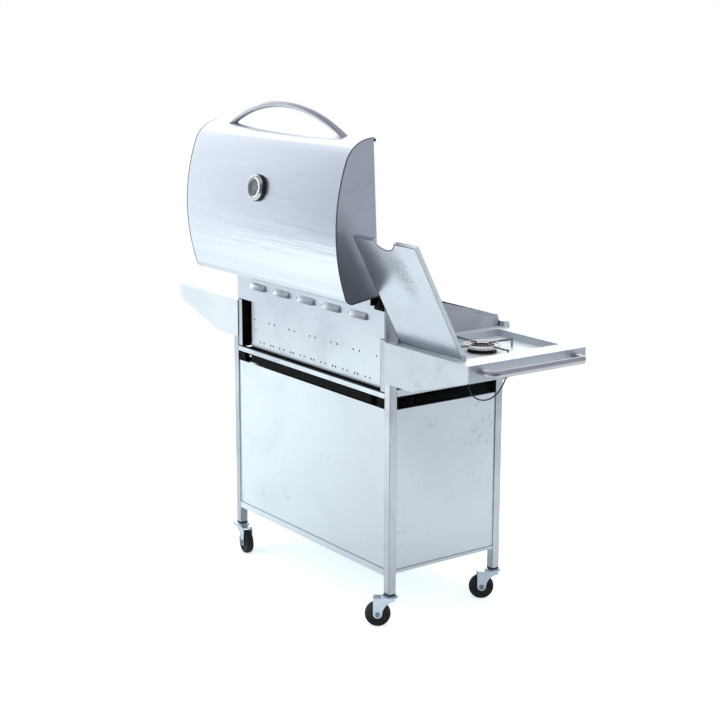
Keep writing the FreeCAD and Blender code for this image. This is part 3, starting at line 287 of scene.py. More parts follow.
drift.inputs["To Min"].default_value = GLOW_MIRRORED[0]
drift.inputs["To Max"].default_value = GLOW_MIRRORED[1]
seen = add_node(tree, "ShaderNodeLightPath")
strength = add_node(tree, "ShaderNodeMix", data_type="FLOAT")
strength.inputs["B"].default_value = GLOW_SEEN
lit = add_node(tree, "ShaderNodeAddShader")
clear = add_node(tree, "ShaderNodeBsdfTransparent")
edge = add_node(tree, "ShaderNodeMixShader")
paper_out = add_node(tree, "ShaderNodeOutputMaterial")
feed(tree, [(where.outputs["Object"], reach.inputs[0]),
            (seen.outputs["Is Camera Ray"], farther.inputs[0]),
            (reach.outputs["Value"], farther.inputs[2]),
            (farther.outputs["Value"], fade.inputs["Value"]),
            (where.outputs["Object"], towards.inputs[0]),
            (towards.outputs["Value"], unlit.inputs["Value"]),
            (seen.outputs["Is Camera Ray"], not_seen.inputs[1]),
            (not_seen.outputs["Value"], unlit_part.inputs[0]),
            (unlit.outputs["Result"], unlit_part.inputs[1]), (fade.outputs["Result"], gone.inputs[0]),
            (unlit_part.outputs["Value"], gone.inputs[1]), (where.outputs["Object"], along.inputs[0]),
            (along.outputs["Value"], drift.inputs["Value"]),
            (seen.outputs["Is Camera Ray"], strength.inputs["Factor"]),
            (drift.outputs["Result"], strength.inputs["A"]),
            (strength.outputs["Result"], glow.inputs["Strength"]), (matt.outputs["BSDF"], lit.inputs[0]),
            (glow.outputs["Emission"], lit.inputs[1]), (gone.outputs["Value"], edge.inputs["Fac"]),
            (lit.outputs["Shader"], edge.inputs[1]), (clear.outputs["BSDF"], edge.inputs[2]),
            (edge.outputs["Shader"], paper_out.inputs["Surface"])])
floor.data.materials.append(paper)
print("paper with", len(tree.nodes), "nodes")

# %% [markdown]
# ## Shared effects
# Rolled stainless sheet is never even. It has fine brush lines, cloudy handling marks and a few thin
# scuffs. One node group makes all of them from object coordinates, and every steel finish sets its own
# brush direction and strength.

# %% Group: worn steel
WORN_INPUTS = [("Brush", "Vector", (3, 900, 900)), ("Cloud", "Float", 4.0),
               ("Clean", "Color", (0.72, 0.76, 0.8, 1)), ("Marked", "Color", (0.5, 0.53, 0.57, 1)),
               ("Smooth", "Float", 0.2), ("Rough", "Float", 0.4), ("Smudge", "Float", 0.3)]
OUTPUTS = [("Color", "Color"), ("Roughness", "Float"), ("Height", "Float")]


def new_group(name, inputs):
    group = bpy.data.node_groups.new(name, "ShaderNodeTree")
    for label, kind, value in inputs:
        made = group.interface.new_socket(label, in_out="INPUT", socket_type="NodeSocket" + kind)
        made.default_value = value
    for label, kind in OUTPUTS:
        group.interface.new_socket(label, in_out="OUTPUT", socket_type="NodeSocket" + kind)
    return group


def fill_worn_steel(tree):
    given = add_node(tree, "NodeGroupInput")
    result = add_node(tree, "NodeGroupOutput")
    place = add_node(tree, "ShaderNodeTexCoord")
    stretch = add_node(tree, "ShaderNodeVectorMath", operation="MULTIPLY")
    lines = add_node(tree, "ShaderNodeTexNoise")
    lines.inputs["Scale"].default_value = 1.0
    lines.inputs["Detail"].default_value = 3.0
    clouds = add_node(tree, "ShaderNodeTexNoise")
    clouds.inputs["Detail"].default_value = 5.0
    clouds.inputs["Distortion"].default_value = 0.6
    cloudy = add_node(tree, "ShaderNodeMapRange")
    cloudy.inputs["From Min"].default_value = 0.45
    cloudy.inputs["From Max"].default_value = 0.75
    tilted = add_node(tree, "ShaderNodeMapping")
    tilted.inputs["Rotation"].default_value = (0.6, 0.5, 0.9)
    tilted.inputs["Scale"].default_value = (5, 60, 22)
    scratch = add_node(tree, "ShaderNodeTexNoise")
    scratch.inputs["Scale"].default_value = 1.0
    scratch.inputs["Detail"].default_value = 2.0
    scuff = add_node(tree, "ShaderNodeMapRange")
    scuff.inputs["From Min"].default_value = 0.68
    scuff.inputs["From Max"].default_value = 0.78
    smears = add_node(tree, "ShaderNodeTexNoise")
    smears.inputs["Scale"].default_value = 13.0
    smears.inputs["Detail"].default_value = 8.0
    smears.inputs["Roughness"].default_value = 0.68
    blot = add_node(tree, "ShaderNodeMapRange")
    blot.inputs["From Min"].default_value = 0.62
    blot.inputs["From Max"].default_value = 0.72
    blot_mark = add_node(tree, "ShaderNodeMath", operation="MULTIPLY")
    stained = add_node(tree, "ShaderNodeMix", data_type="RGBA")
    stained.inputs["B"].default_value = (0.30, 0.32, 0.35, 1)
    line_mark = add_node(tree, "ShaderNodeMath", operation="MULTIPLY")
    line_mark.inputs[1].default_value = 0.35
    cloud_mark = add_node(tree, "ShaderNodeMath", operation="MULTIPLY")
    cloud_mark.inputs[1].default_value = 0.55
    both = add_node(tree, "ShaderNodeMath", operation="ADD")
    mark = add_node(tree, "ShaderNodeMath", operation="ADD", use_clamp=True)
    tint = add_node(tree, "ShaderNodeMix", data_type="RGBA")
    level = add_node(tree, "ShaderNodeMix", data_type="FLOAT")
    feed(tree, [(place.outputs["Object"], stretch.inputs[0]),
                (given.outputs["Brush"], stretch.inputs[1]),
                (stretch.outputs["Vector"], lines.inputs["Vector"]),
                (place.outputs["Object"], clouds.inputs["Vector"]),
                (given.outputs["Cloud"], clouds.inputs["Scale"]),
                (clouds.outputs["Fac"], cloudy.inputs["Value"]),
                (place.outputs["Object"], tilted.inputs["Vector"]),
                (tilted.outputs["Vector"], scratch.inputs["Vector"]),
                (scratch.outputs["Fac"], scuff.inputs["Value"]),
                (lines.outputs["Fac"], line_mark.inputs[0]),
                (cloudy.outputs["Result"], cloud_mark.inputs[0]),
                (line_mark.outputs["Value"], both.inputs[0]),
                (cloud_mark.outputs["Value"], both.inputs[1]), (both.outputs["Value"], mark.inputs[0]),
                (scuff.outputs["Result"], mark.inputs[1]),
                (both.outputs["Value"], tint.inputs["Factor"]),
                (given.outputs["Clean"], tint.inputs["A"]), (given.outputs["Marked"], tint.inputs["B"]),
                (mark.outputs["Value"], level.inputs["Factor"]),
                (given.outputs["Smooth"], level.inputs["A"]),
                (given.outputs["Rough"], level.inputs["B"]),
                (place.outputs["Object"], smears.inputs["Vector"]),
                (smears.outputs["Fac"], blot.inputs["Value"]),
                (blot.outputs["Result"], blot_mark.inputs[0]),
                (given.outputs["Smudge"], blot_mark.inputs[1]),
                (blot_mark.outputs["Value"], stained.inputs["Factor"]),
                (tint.outputs["Result"], stained.inputs["A"]),
                (stained.outputs["Result"], result.inputs["Color"]),
                (level.outputs["Result"], result.inputs["Roughness"]),
                (lines.outputs["Fac"], result.inputs["Height"])])


worn_steel = new_group("worn_steel", WORN_INPUTS)
fill_worn_steel(worn_steel)
print("worn_steel group with", len(worn_steel.nodes), "nodes")

# %% [markdown]
# Paint, moulded plastic, rubber and cast iron share another effect: a fine grain in the surface with
# patches of dust. The group gives a colour, a roughness and a height for the bump.

# %% Group: grainy coat
COAT_INPUTS = [("Grain", "Float", 900.0), ("Deep", "Color", (0.02, 0.02, 0.02, 1)),
               ("Dusty", "Color", (0.08, 0.08, 0.08, 1)), ("Smooth", "Float", 0.35),
               ("Rough", "Float", 0.6)]


def fill_grainy_coat(tree):
    given = add_node(tree, "NodeGroupInput")
    result = add_node(tree, "NodeGroupOutput")
    place = add_node(tree, "ShaderNodeTexCoord")
    grain = add_node(tree, "ShaderNodeTexNoise")
    grain.inputs["Detail"].default_value = 4.0
    dust = add_node(tree, "ShaderNodeTexNoise")
    dust.inputs["Scale"].default_value = 14.0
    dust.inputs["Detail"].default_value = 6.0
    patchy = add_node(tree, "ShaderNodeMapRange")
    patchy.inputs["From Min"].default_value = 0.5
    patchy.inputs["From Max"].default_value = 0.8
    tint = add_node(tree, "ShaderNodeMix", data_type="RGBA")
    level = add_node(tree, "ShaderNodeMix", data_type="FLOAT")
    feed(tree, [(place.outputs["Object"], grain.inputs["Vector"]),
                (given.outputs["Grain"], grain.inputs["Scale"]),
                (place.outputs["Object"], dust.inputs["Vector"]),
                (dust.outputs["Fac"], patchy.inputs["Value"]),
                (patchy.outputs["Result"], tint.inputs["Factor"]),
                (given.outputs["Deep"], tint.inputs["A"]), (given.outputs["Dusty"], tint.inputs["B"]),
                (patchy.outputs["Result"], level.inputs["Factor"]),
                (given.outputs["Smooth"], level.inputs["A"]),
                (given.outputs["Rough"], level.inputs["B"]),
                (tint.outputs["Result"], result.inputs["Color"]),
                (level.outputs["Result"], result.inputs["Roughness"]),
                (grain.outputs["Fac"], result.inputs["Height"])])


grainy_coat = new_group("grainy_coat", COAT_INPUTS)
fill_grainy_coat(grainy_coat)
print("grainy_coat group with", len(grainy_coat.nodes), "nodes")

# %% [markdown]
# ## Finishes
# Each finish is one of the two groups feeding a Principled shader. Values that are the same all over,
# such as metallic, are set on the shader itself. The hood's brush lines are wide and deep, so they show
# as the soft streaks of a rolled sheet.

# %% Make the steel finishes
finishes = {}
RELIEF = 0.4 * MM
RIPPLE = 1.4 * MM


def finish(name, group, bump, metallic=0.0, specular=0.5, depth=RELIEF, **values):
    made = bpy.data.materials.new(name)
    made.use_nodes = True
    tree = made.node_tree
    shader = tree.nodes["Principled BSDF"]
    shader.inputs["Metallic"].default_value = metallic
    shader.inputs["Specular IOR Level"].default_value = specular
    effect = add_node(tree, "ShaderNodeGroup", node_tree=group)
    for key, value in values.items():
        effect.inputs[key].default_value = value
    relief = add_node(tree, "ShaderNodeBump")
    relief.inputs["Strength"].default_value = bump
    relief.inputs["Distance"].default_value = depth
    feed(tree, [(effect.outputs["Color"], shader.inputs["Base Color"]),
                (effect.outputs["Roughness"], shader.inputs["Roughness"]),
                (effect.outputs["Height"], relief.inputs["Height"]),
                (relief.outputs["Normal"], shader.inputs["Normal"])])
    finishes[name] = made


ALONG_X = (4, 700, 700)
ALONG_Y = (700, 4, 700)
ALONG_Z = (700, 700, 4)
PALE = (0.77, 0.82, 0.87, 1)
MARKED = (0.59, 0.64, 0.69, 1)
finish("hood_steel", worn_steel, bump=1.0, metallic=1.0, depth=RIPPLE, Brush=(2.5, 50, 50),
       Clean=(0.79, 0.83, 0.88, 1), Marked=(0.72, 0.76, 0.82, 1), Smooth=0.22, Rough=0.28, Cloud=1.6,
       Smudge=0.0)
finish("panel_steel", worn_steel, bump=0.12, metallic=1.0, Brush=ALONG_Z, Clean=(0.81, 0.86, 0.91, 1),
       Marked=MARKED, Smooth=0.28, Rough=0.38, Cloud=3.0, Smudge=0.25)
# Painted light: a brighter copy of the panel steel, for the rear panel and the lower rear rail's outer
# face.
finish("rear_painted_lit_steel", worn_steel, bump=0.12, metallic=1.0, Brush=ALONG_Z, Clean=(0.91, 0.97, 1.0, 1),
       Marked=(0.72, 0.77, 0.82, 1), Smooth=0.28, Rough=0.38, Cloud=3.0, Smudge=0.25)
finish("sheet_steel", worn_steel, bump=0.12, metallic=1.0, Brush=ALONG_X, Clean=PALE, Marked=MARKED,
       Smooth=0.26, Rough=0.42, Cloud=5.0, Smudge=0.35)
finish("shelf_steel", worn_steel, bump=0.12, metallic=1.0, Brush=ALONG_X, Clean=(0.80, 0.84, 0.88, 1),
       Marked=(0.64, 0.68, 0.73, 1), Smooth=0.44, Rough=0.6, Cloud=5.0, Smudge=0.3)
# Painted light: the brightest copy of the steel, for the right shelf, upward faces and the lid's outward
# rim.
finish("painted_lit_steel", worn_steel, bump=0.08, metallic=0.7, Brush=ALONG_X, Clean=(0.93, 0.98, 1.0, 1),
       Marked=(0.86, 0.92, 0.95, 1), Smooth=0.45, Rough=0.6, Cloud=5.0, Smudge=0.3)
finish("cap_steel", worn_steel, bump=0.12, metallic=1.0, Brush=ALONG_Y, Clean=(0.80, 0.84, 0.91, 1),
       Marked=(0.60, 0.64, 0.71, 1), Smooth=0.38, Rough=0.5, Cloud=6.0, Smudge=0.1)
finish("wall_steel", worn_steel, bump=0.12, metallic=1.0, Brush=ALONG_Y, Clean=(0.68, 0.70, 0.74, 1),
       Marked=(0.50, 0.52, 0.56, 1), Smooth=0.28, Rough=0.44, Cloud=6.0, Smudge=0.2)
finish("lid_steel", worn_steel, bump=0.12, metallic=1.0, Brush=ALONG_Z, Clean=(0.75, 0.80, 0.86, 1),
       Marked=(0.62, 0.66, 0.72, 1), Smooth=0.27, Rough=0.36, Cloud=6.0, Smudge=0.3)
finish("post_steel", worn_steel, bump=0.08, metallic=1.0, Brush=ALONG_Z, Clean=(0.65, 0.67, 0.70, 1),
       Marked=(0.46, 0.48, 0.52, 1), Smooth=0.18, Rough=0.34, Cloud=9.0, Smudge=0.15)
finish("rail_steel", worn_steel, bump=0.08, metallic=1.0, Brush=ALONG_X, Clean=PALE, Marked=MARKED,
       Smooth=0.24, Rough=0.40, Cloud=9.0, Smudge=0.1)
finish("bar_steel", worn_steel, bump=0.06, metallic=1.0, Brush=ALONG_X, Clean=(0.62, 0.63, 0.66, 1),
       Marked=(0.48, 0.49, 0.52, 1), Smooth=0.36, Rough=0.5, Cloud=12.0, Smudge=0.0)
# Painted shade: a darker copy of the steel for the louvers, which also get a painted highlight.
finish("louver_shade_and_highlight", worn_steel, bump=0.06, metallic=1.0, Brush=ALONG_X, Clean=(0.58, 0.60, 0.64, 1),
       Marked=(0.46, 0.48, 0.52, 1), Smooth=0.32, Rough=0.46, Cloud=12.0, Smudge=0.2)
finish("handle_steel", worn_steel, bump=0.06, metallic=1.0, Brush=ALONG_X, Clean=(0.66, 0.66, 0.69, 1),
       Marked=(0.52, 0.52, 0.55, 1), Smooth=0.26, Rough=0.40, Cloud=12.0, Smudge=0.0)
finish("zinc_plate", worn_steel, bump=0.05, metallic=1.0, Brush=(60, 60, 60),
       Clean=(0.76, 0.85, 0.93, 1), Marked=(0.60, 0.68, 0.77, 1), Smooth=0.28, Rough=0.42, Cloud=40.0,
       Smudge=0.2)
finish("dull_bolt", worn_steel, bump=0.05, metallic=1.0, Brush=(60, 60, 60), Clean=(0.30, 0.36, 0.40, 1),
       Marked=(0.18, 0.22, 0.25, 1), Smooth=0.3, Rough=0.5, Cloud=60.0, Smudge=0.3)
finish("wire_chrome", worn_steel, bump=0.03, metallic=1.0, Brush=(90, 90, 90),
       Clean=(0.78, 0.79, 0.8, 1), Marked=(0.6, 0.6, 0.6, 1), Smooth=0.1, Rough=0.3, Cloud=30.0,
       Smudge=0.0)
finish("burner_wire", worn_steel, bump=0.05, metallic=1.0, Brush=(90, 90, 90),
       Clean=(0.34, 0.34, 0.36, 1), Marked=(0.18, 0.18, 0.19, 1), Smooth=0.25, Rough=0.5, Cloud=40.0,
       Smudge=0.4)
finish("burner_aluminium", worn_steel, bump=0.04, metallic=0.4, Brush=(80, 80, 80),
       Clean=(0.92, 0.91, 0.87, 1), Marked=(0.82, 0.81, 0.77, 1), Smooth=0.35, Rough=0.5, Cloud=30.0,
       Smudge=0.1)
print(len(finishes), "steel finishes")

# %% Make the dark and painted finishes
# Painted shade: the dark seams on the posts' corners, round the lid's rim and along the hood's end beads.
finish("seam_painted_shade", grainy_coat, bump=0.05, specular=0.2, Grain=900.0, Deep=(0.05, 0.055, 0.06, 1),
       Dusty=(0.12, 0.12, 0.125, 1), Smooth=0.5, Rough=0.7)
# Soot and painted shade: black for the inner faces of the hood, firebox, tub and louvers, and a rail's top.
finish("soot_and_painted_shade", grainy_coat, bump=0.2, specular=0.2, Grain=420.0, Deep=(0.008, 0.008, 0.008, 1),
       Dusty=(0.035, 0.032, 0.03, 1), Smooth=0.5, Rough=0.8)
finish("black_enamel", grainy_coat, bump=0.10, specular=0.04, Grain=500.0,
       Deep=(0.003, 0.003, 0.0034, 1), Dusty=(0.008, 0.008, 0.008, 1), Smooth=0.4, Rough=0.6)
finish("black_moulding", grainy_coat, bump=0.12, specular=0.35, Grain=1400.0,
       Deep=(0.012, 0.012, 0.014, 1), Dusty=(0.045, 0.045, 0.05, 1), Smooth=0.4, Rough=0.62)
finish("tread_rubber", grainy_coat, bump=0.15, specular=0.25, Grain=1800.0,
       Deep=(0.014, 0.014, 0.016, 1), Dusty=(0.06, 0.058, 0.06, 1), Smooth=0.5, Rough=0.75)
finish("cast_iron", grainy_coat, bump=0.5, specular=0.3, Grain=700.0, Deep=(0.02, 0.02, 0.021, 1),
       Dusty=(0.07, 0.06, 0.055, 1), Smooth=0.5, Rough=0.8)
finish("supply_pipe", grainy_coat, bump=0.1, Grain=900.0, Deep=(0.16, 0.16, 0.17, 1),
       Dusty=(0.28, 0.28, 0.28, 1), Smooth=0.35, Rough=0.55)
finish("dial_paint", grainy_coat, bump=0.02, Grain=1600.0, Deep=(0.15, 0.18, 0.23, 1),
       Dusty=(0.11, 0.14, 0.18, 1), Smooth=0.45, Rough=0.6)
finish("white_paint", grainy_coat, bump=0.02, Grain=1600.0, Deep=(0.82, 0.82, 0.80, 1),
       Dusty=(0.70, 0.70, 0.68, 1), Smooth=0.45, Rough=0.6)
finish("dial_ink", grainy_coat, bump=0.02, Grain=1600.0, Deep=(0.03, 0.032, 0.036, 1),
       Dusty=(0.07, 0.07, 0.075, 1), Smooth=0.45, Rough=0.6)
lead.data.materials.append(finishes["black_moulding"])
print(len(finishes), "finishes")

# %% [markdown]
# Some sheets carry marks of their own, and some carry painted shade. The side burner's lid has a dull
# handling mark near its free edge, and painted shade in a dark band along its hinge, where it meets the
# shelf.
# The lower ends of the hood's caps are painted darker, as painted shade for a dark reflection. The side
# panels and doors are painted darker towards the bottom, and the rear panel towards its -X end, also as
# painted shade.
# Each is a mask and a colour that covers the finish. A distance along one direction masks the painted
# shade. A spherical gradient, moved and stretched by a Mapping node, masks the mark.

# %% Helpers for stains and painted shade
def cover(material, mask, color):
    tree = material.node_tree
    base = tree.nodes["Principled BSDF"].inputs["Base Color"]
    dirty = add_node(tree, "ShaderNodeMix", data_type="RGBA")
    dirty.inputs["B"].default_value = color
    feed(tree, [(mask, dirty.inputs["Factor"]), (base.links[0].from_socket, dirty.inputs["A"]),
                (dirty.outputs["Result"], base)])


def shade_along(material, axis, dark, clean, amount, color):
    tree = material.node_tree
    place = add_node(tree, "ShaderNodeTexCoord")
    along = add_node(tree, "ShaderNodeVectorMath", operation="DOT_PRODUCT")
    along.inputs[1].default_value = axis
    rising = add_node(tree, "ShaderNodeMapRange", interpolation_type="SMOOTHSTEP")
    rising.inputs["From Min"].default_value = clean
    rising.inputs["From Max"].default_value = dark
    rising.inputs["To Max"].default_value = amount
    feed(tree, [(place.outputs["Object"], along.inputs[0]),
                (along.outputs["Value"], rising.inputs["Value"])])
    cover(material, rising.outputs["Result"], color)


def handling_mark(material, centre, turn, radii, color):
    tree = material.node_tree
    place = add_node(tree, "ShaderNodeTexCoord")
    patch_space = add_node(tree, "ShaderNodeMapping", vector_type="TEXTURE")
    patch_space.inputs["Location"].default_value = centre
    patch_space.inputs["Rotation"].default_value = turn
    patch_space.inputs["Scale"].default_value = radii
    patch = add_node(tree, "ShaderNodeTexGradient", gradient_type="SPHERICAL")
    broken = add_node(tree, "ShaderNodeTexNoise")
    broken.inputs["Scale"].default_value = 130.0
    broken.inputs["Detail"].default_value = 8.0
    torn = add_node(tree, "ShaderNodeMapRange")
    torn.inputs["From Min"].default_value = 0.30
    torn.inputs["From Max"].default_value = 0.55
    torn.inputs["To Max"].default_value = 1.5
    mark = add_node(tree, "ShaderNodeMath", operation="MULTIPLY", use_clamp=True)
    feed(tree, [(place.outputs["Object"], patch_space.inputs["Vector"]),
                (patch_space.outputs["Vector"], patch.inputs["Vector"]),
                (place.outputs["Object"], broken.inputs["Vector"]),
                (broken.outputs["Fac"], torn.inputs["Value"]), (patch.outputs["Fac"], mark.inputs[0]),
                (torn.outputs["Result"], mark.inputs[1])])
    cover(material, mark.outputs["Value"], color)


# %% [markdown]
# Two noises multiplied leave small groups of specks on the panels. The louvers stand in an even row, so the
# fraction of a step along the row says how far along its own louver a point is, and fades in a painted
# highlight towards one end of it.

# %% Helpers for specks and the louvers' painted highlight
def specks(material, color):
    tree = material.node_tree
    place = add_node(tree, "ShaderNodeTexCoord")
    spots = add_node(tree, "ShaderNodeTexNoise")
    spots.inputs["Scale"].default_value = 70.0
    spots.inputs["Detail"].default_value = 3.0
    area = add_node(tree, "ShaderNodeTexNoise")
    area.inputs["Scale"].default_value = 5.0
    both = add_node(tree, "ShaderNodeMath", operation="MULTIPLY")
    kept = add_node(tree, "ShaderNodeMapRange")
    kept.inputs["From Min"].default_value = 0.39
    kept.inputs["From Max"].default_value = 0.46
    kept.inputs["To Max"].default_value = 0.38
    feed(tree, [(place.outputs["Object"], spots.inputs["Vector"]),
                (place.outputs["Object"], area.inputs["Vector"]), (spots.outputs["Fac"], both.inputs[0]),
                (area.outputs["Fac"], both.inputs[1]), (both.outputs["Value"], kept.inputs["Value"])])
    cover(material, kept.outputs["Result"], color)


def highlight_along_row(material, middle, pitch, dull, bright, color):
    tree = material.node_tree
    place = add_node(tree, "ShaderNodeTexCoord")
    parts = add_node(tree, "ShaderNodeSeparateXYZ")
    step = add_node(tree, "ShaderNodeMath", operation="MULTIPLY_ADD")
    step.inputs[1].default_value = 1 / pitch
    step.inputs[2].default_value = 0.5 - middle / pitch
    within = add_node(tree, "ShaderNodeMath", operation="FRACT")
    rising = add_node(tree, "ShaderNodeMapRange", interpolation_type="SMOOTHSTEP")
    rising.inputs["From Min"].default_value = dull
    rising.inputs["From Max"].default_value = bright
    feed(tree, [(place.outputs["Object"], parts.inputs["Vector"]), (parts.outputs["X"], step.inputs[0]),
                (step.outputs["Value"], within.inputs[0]),
                (within.outputs["Value"], rising.inputs["Value"])])
    cover(material, rising.outputs["Result"], color)


# %% Stain the sheets and paint their shade
LOUVER_PITCH = 0.133
LOUVER_MIDDLE = 0.004
MARK_CENTRE = (-0.585, 0.290, 1.062)
MARK_TURN = (math.radians(-27.4), 0.18, 0)
MARK_RADII = (0.052, 0.052, 0.098)
# Grease for the specks on the panels; the same colour is painted shade in the band along the lid's hinge.
GREASE_AND_SHADE = (0.34, 0.36, 0.40, 1)
RUBBED = (0.47, 0.48, 0.53, 1)
# Painted shade for the lower ends of the hood's caps, standing in for a dark reflection.
CAP_PAINTED_SHADE = (0.10, 0.10, 0.11, 1)
# Painted shade for the panels' lower parts and the rear panel's -X end.
PANEL_PAINTED_SHADE = (0.60, 0.64, 0.69, 1)
# Painted highlight for one end of each louver.
LOUVER_PAINTED_HIGHLIGHT = (0.84, 0.88, 0.92, 1)
handling_mark(finishes["lid_steel"], MARK_CENTRE, MARK_TURN, MARK_RADII, RUBBED)
# Painted shade: the lid darker along its foot, at the hinge.
shade_along(finishes["lid_steel"], (0, 0, 1), dark=0.846, clean=0.866, amount=0.4, color=GREASE_AND_SHADE)
# Painted shade: the side panels and doors darker towards the bottom.
shade_along(finishes["panel_steel"], (0, 0.3, -1), dark=-0.05, clean=-0.65, amount=0.6, color=PANEL_PAINTED_SHADE)
specks(finishes["panel_steel"], GREASE_AND_SHADE)
# Painted shade: the rear panel darker towards its -X end.
shade_along(finishes["rear_painted_lit_steel"], (-1, 0, 0), dark=0.42, clean=-0.42, amount=0.75, color=PANEL_PAINTED_SHADE)
specks(finishes["rear_painted_lit_steel"], GREASE_AND_SHADE)
# Painted highlight: each louver brighter towards one end.
highlight_along_row(finishes["louver_shade_and_highlight"], LOUVER_MIDDLE, LOUVER_PITCH, dull=0.50, bright=0.74, color=LOUVER_PAINTED_HIGHLIGHT)
# Painted shade: the caps darker towards their lower ends, as a dark reflection.
shade_along(finishes["cap_steel"], (0, -1, 1), dark=0.66, clean=0.90, amount=0.75, color=CAP_PAINTED_SHADE)
print("sheets stained")

# %% Make the dial's glass
dial_glass = bpy.data.materials.new("dial_glass")
dial_glass.use_nodes = True
glass = dial_glass.node_tree.nodes["Principled BSDF"]
glass.inputs["Base Color"].default_value = (0.95, 0.97, 0.98, 1)
glass.inputs["Transmission Weight"].default_value = 1.0
glass.inputs["IOR"].default_value = 1.45
smear = add_node(dial_glass.node_tree, "ShaderNodeGroup", node_tree=grainy_coat)
smear.inputs["Smooth"].default_value = 0.02
smear.inputs["Rough"].default_value = 0.18
feed(dial_glass.node_tree, [(smear.outputs["Roughness"], glass.inputs["Roughness"])])
finishes["dial_glass"] = dial_glass
print("glass made")

# %% [markdown]
# ## Pressed and welded steel
# Folded sheet and tube never end in a knife edge. A copy of each CAD piece is merged into one clean
# mesh, its flat faces are dissolved into large ones, and a Bevel modifier rounds what is left. That
# keeps every size, and catches the light along each fold. Where a large flat sheet meets small pressed
# faces, the edge between them is marked sharp, or the sheet's shading would bend towards them.

# %% Helpers for pieces
CREASE = math.radians(32)
FLAT = math.radians(0.5)
BROAD_AREA = 0.003
BROAD_RATIO = 12


def put_piece(name, shape, materials, body, replaced=()):
    mesh = bpy.data.meshes.new(name)
    shape.to_mesh(mesh)
    shape.free()
    for material in materials:
        mesh.materials.append(finishes[material])
    mesh.shade_smooth()
    mesh.set_sharp_from_angle(angle=CREASE)
    keep_sheets_flat(mesh)
    thing = bpy.data.objects.new(name, mesh)
    scene.collection.objects.link(thing)
    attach(thing, body)
    if replaced:
        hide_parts(*replaced)
    return thing


def keep_sheets_flat(mesh):
    shape = bmesh.new()
    shape.from_mesh(mesh)
    for edge in shape.edges:
        areas = sorted(face.calc_area() for face in edge.link_faces)
        if len(areas) == 2 and areas[1] > BROAD_AREA and areas[1] > areas[0] * BROAD_RATIO:
            edge.smooth = False
    shape.to_mesh(mesh)
    shape.free()


def round_edges(thing, width, edge_finish):
    rounder = thing.modifiers.new("rounded_edges", "BEVEL")
    rounder.width = width
    rounder.segments = 2
    rounder.limit_method = "ANGLE"
    rounder.angle_limit = CREASE
    rounder.harden_normals = True
    rounder.material = edge_finish


def merged_copy(node):
    shape = bmesh.new()
    shape.from_mesh(cad_nodes[node].data)
    bmesh.ops.remove_doubles(shape, verts=shape.verts, dist=1e-5)
    bmesh.ops.dissolve_limit(shape, angle_limit=FLAT, verts=shape.verts, edges=shape.edges)
    return shape


def dress(node, material, width, others=(), chosen=None, edge_finish=-1, rimmed=0.0):
    shape = merged_copy(node)
    if chosen:
        for face in shape.faces:
            face.material_index = int(chosen(face))
    if rimmed:
        broad = max(shape.faces, key=lambda face: face.calc_area() * (face.normal.y > 0))
        rim = bmesh.ops.inset_individual(shape, faces=[broad], thickness=rimmed * MM)
        for face in rim["faces"]:
            face.material_index = 1
    materials = [material, *others]
    thing = put_piece(node + "_dressed", shape, materials, body_of_node[node], [node])
    round_edges(thing, width * MM, edge_finish)


# %% Dress the steel pieces
# The right shelf takes the brightest steel as painted light.
STEEL_EDGES = {
    "rear_panel": ("rear_painted_lit_steel", 0.5), "side_panels": ("panel_steel", 0.5),
    "bottom_shelf": ("sheet_steel", 0.4), "control_panel": ("sheet_steel", 0.6),
    "right_shelf": ("painted_lit_steel", 0.7), "left_door": ("panel_steel", 0.7),
    "right_door": ("panel_steel", 0.7), "door_pivots": ("bar_steel", 0.4),
    "side_lid_hinges": ("bar_steel", 0.6), "towel_bar": ("handle_steel", 0.6),
    "hood_handle": ("handle_steel", 0.6), "burner_tubes": ("bar_steel", 0.8),
    "heat_tents": ("bar_steel", 0.4), "warming_rack": ("wire_chrome", 1.8),
    "knob_bezels": ("wire_chrome", 0.6),
}
for node, (material, width) in STEEL_EDGES.items():
    dress(node, material, width)
print(len(STEEL_EDGES), "steel pieces dressed")

# %% [markdown]
# A few of them need more than one finish. The posts' rounded corners and a strip round the lid's folded rim
# are painted dark, as painted shade in the seams, and the lid's outward rim faces take the brightest steel
# as a painted highlight. The lower rails take the darker post finish as painted shade, except for the rear
# one's outer face, which takes the brighter rear finish as painted light, and the top of the upper rear one
# is painted black, as painted shade under the tub. The burner shelf's upward faces take the brightest steel
# as painted light, and its skirt stays duller.

# %% Dress the pieces with more finishes
LOWER_RAILS = 0.3
UPPER_RAILS = 0.66
FACING = 0.7


# Painted light and shade: lower rails darker with their +Y faces brighter, the upper rails' tops black.
def rail_finish(face):
    level = face.calc_center_median().z
    if level < LOWER_RAILS:
        return 3 if face.normal.y > FACING else 1
    return 2 if level > UPPER_RAILS and face.normal.z > FACING else 0


# Painted light: faces that look up take the brightest steel.
def faces_up(face):
    return face.normal.z > FACING


# Painted highlight: the lid's outward rim faces take the brightest steel.
def lid_rim(face):
    return 2 if face.normal.x < -FACING else 0


dress("cart_posts", "post_steel", 1.6, ["seam_painted_shade"], edge_finish=1)
dress("side_burner_lid", "lid_steel", 0.5, ["seam_painted_shade", "painted_lit_steel"], lid_rim, rimmed=3.0)
dress("cart_rails", "rail_steel", 1.0, ["post_steel", "soot_and_painted_shade", "rear_painted_lit_steel"], rail_finish)
dress("side_burner_shelf", "shelf_steel", 0.7, ["painted_lit_steel"], faces_up)
print("four pieces with more finishes")

# %% [markdown]
# The hood and the firebox are bright outside and black inside: partly soot, partly painted shade where the
# inside lies in shadow. The same sheet has both sides in its mesh, so each face that looks towards the
# middle of the cooking space takes the black finish.

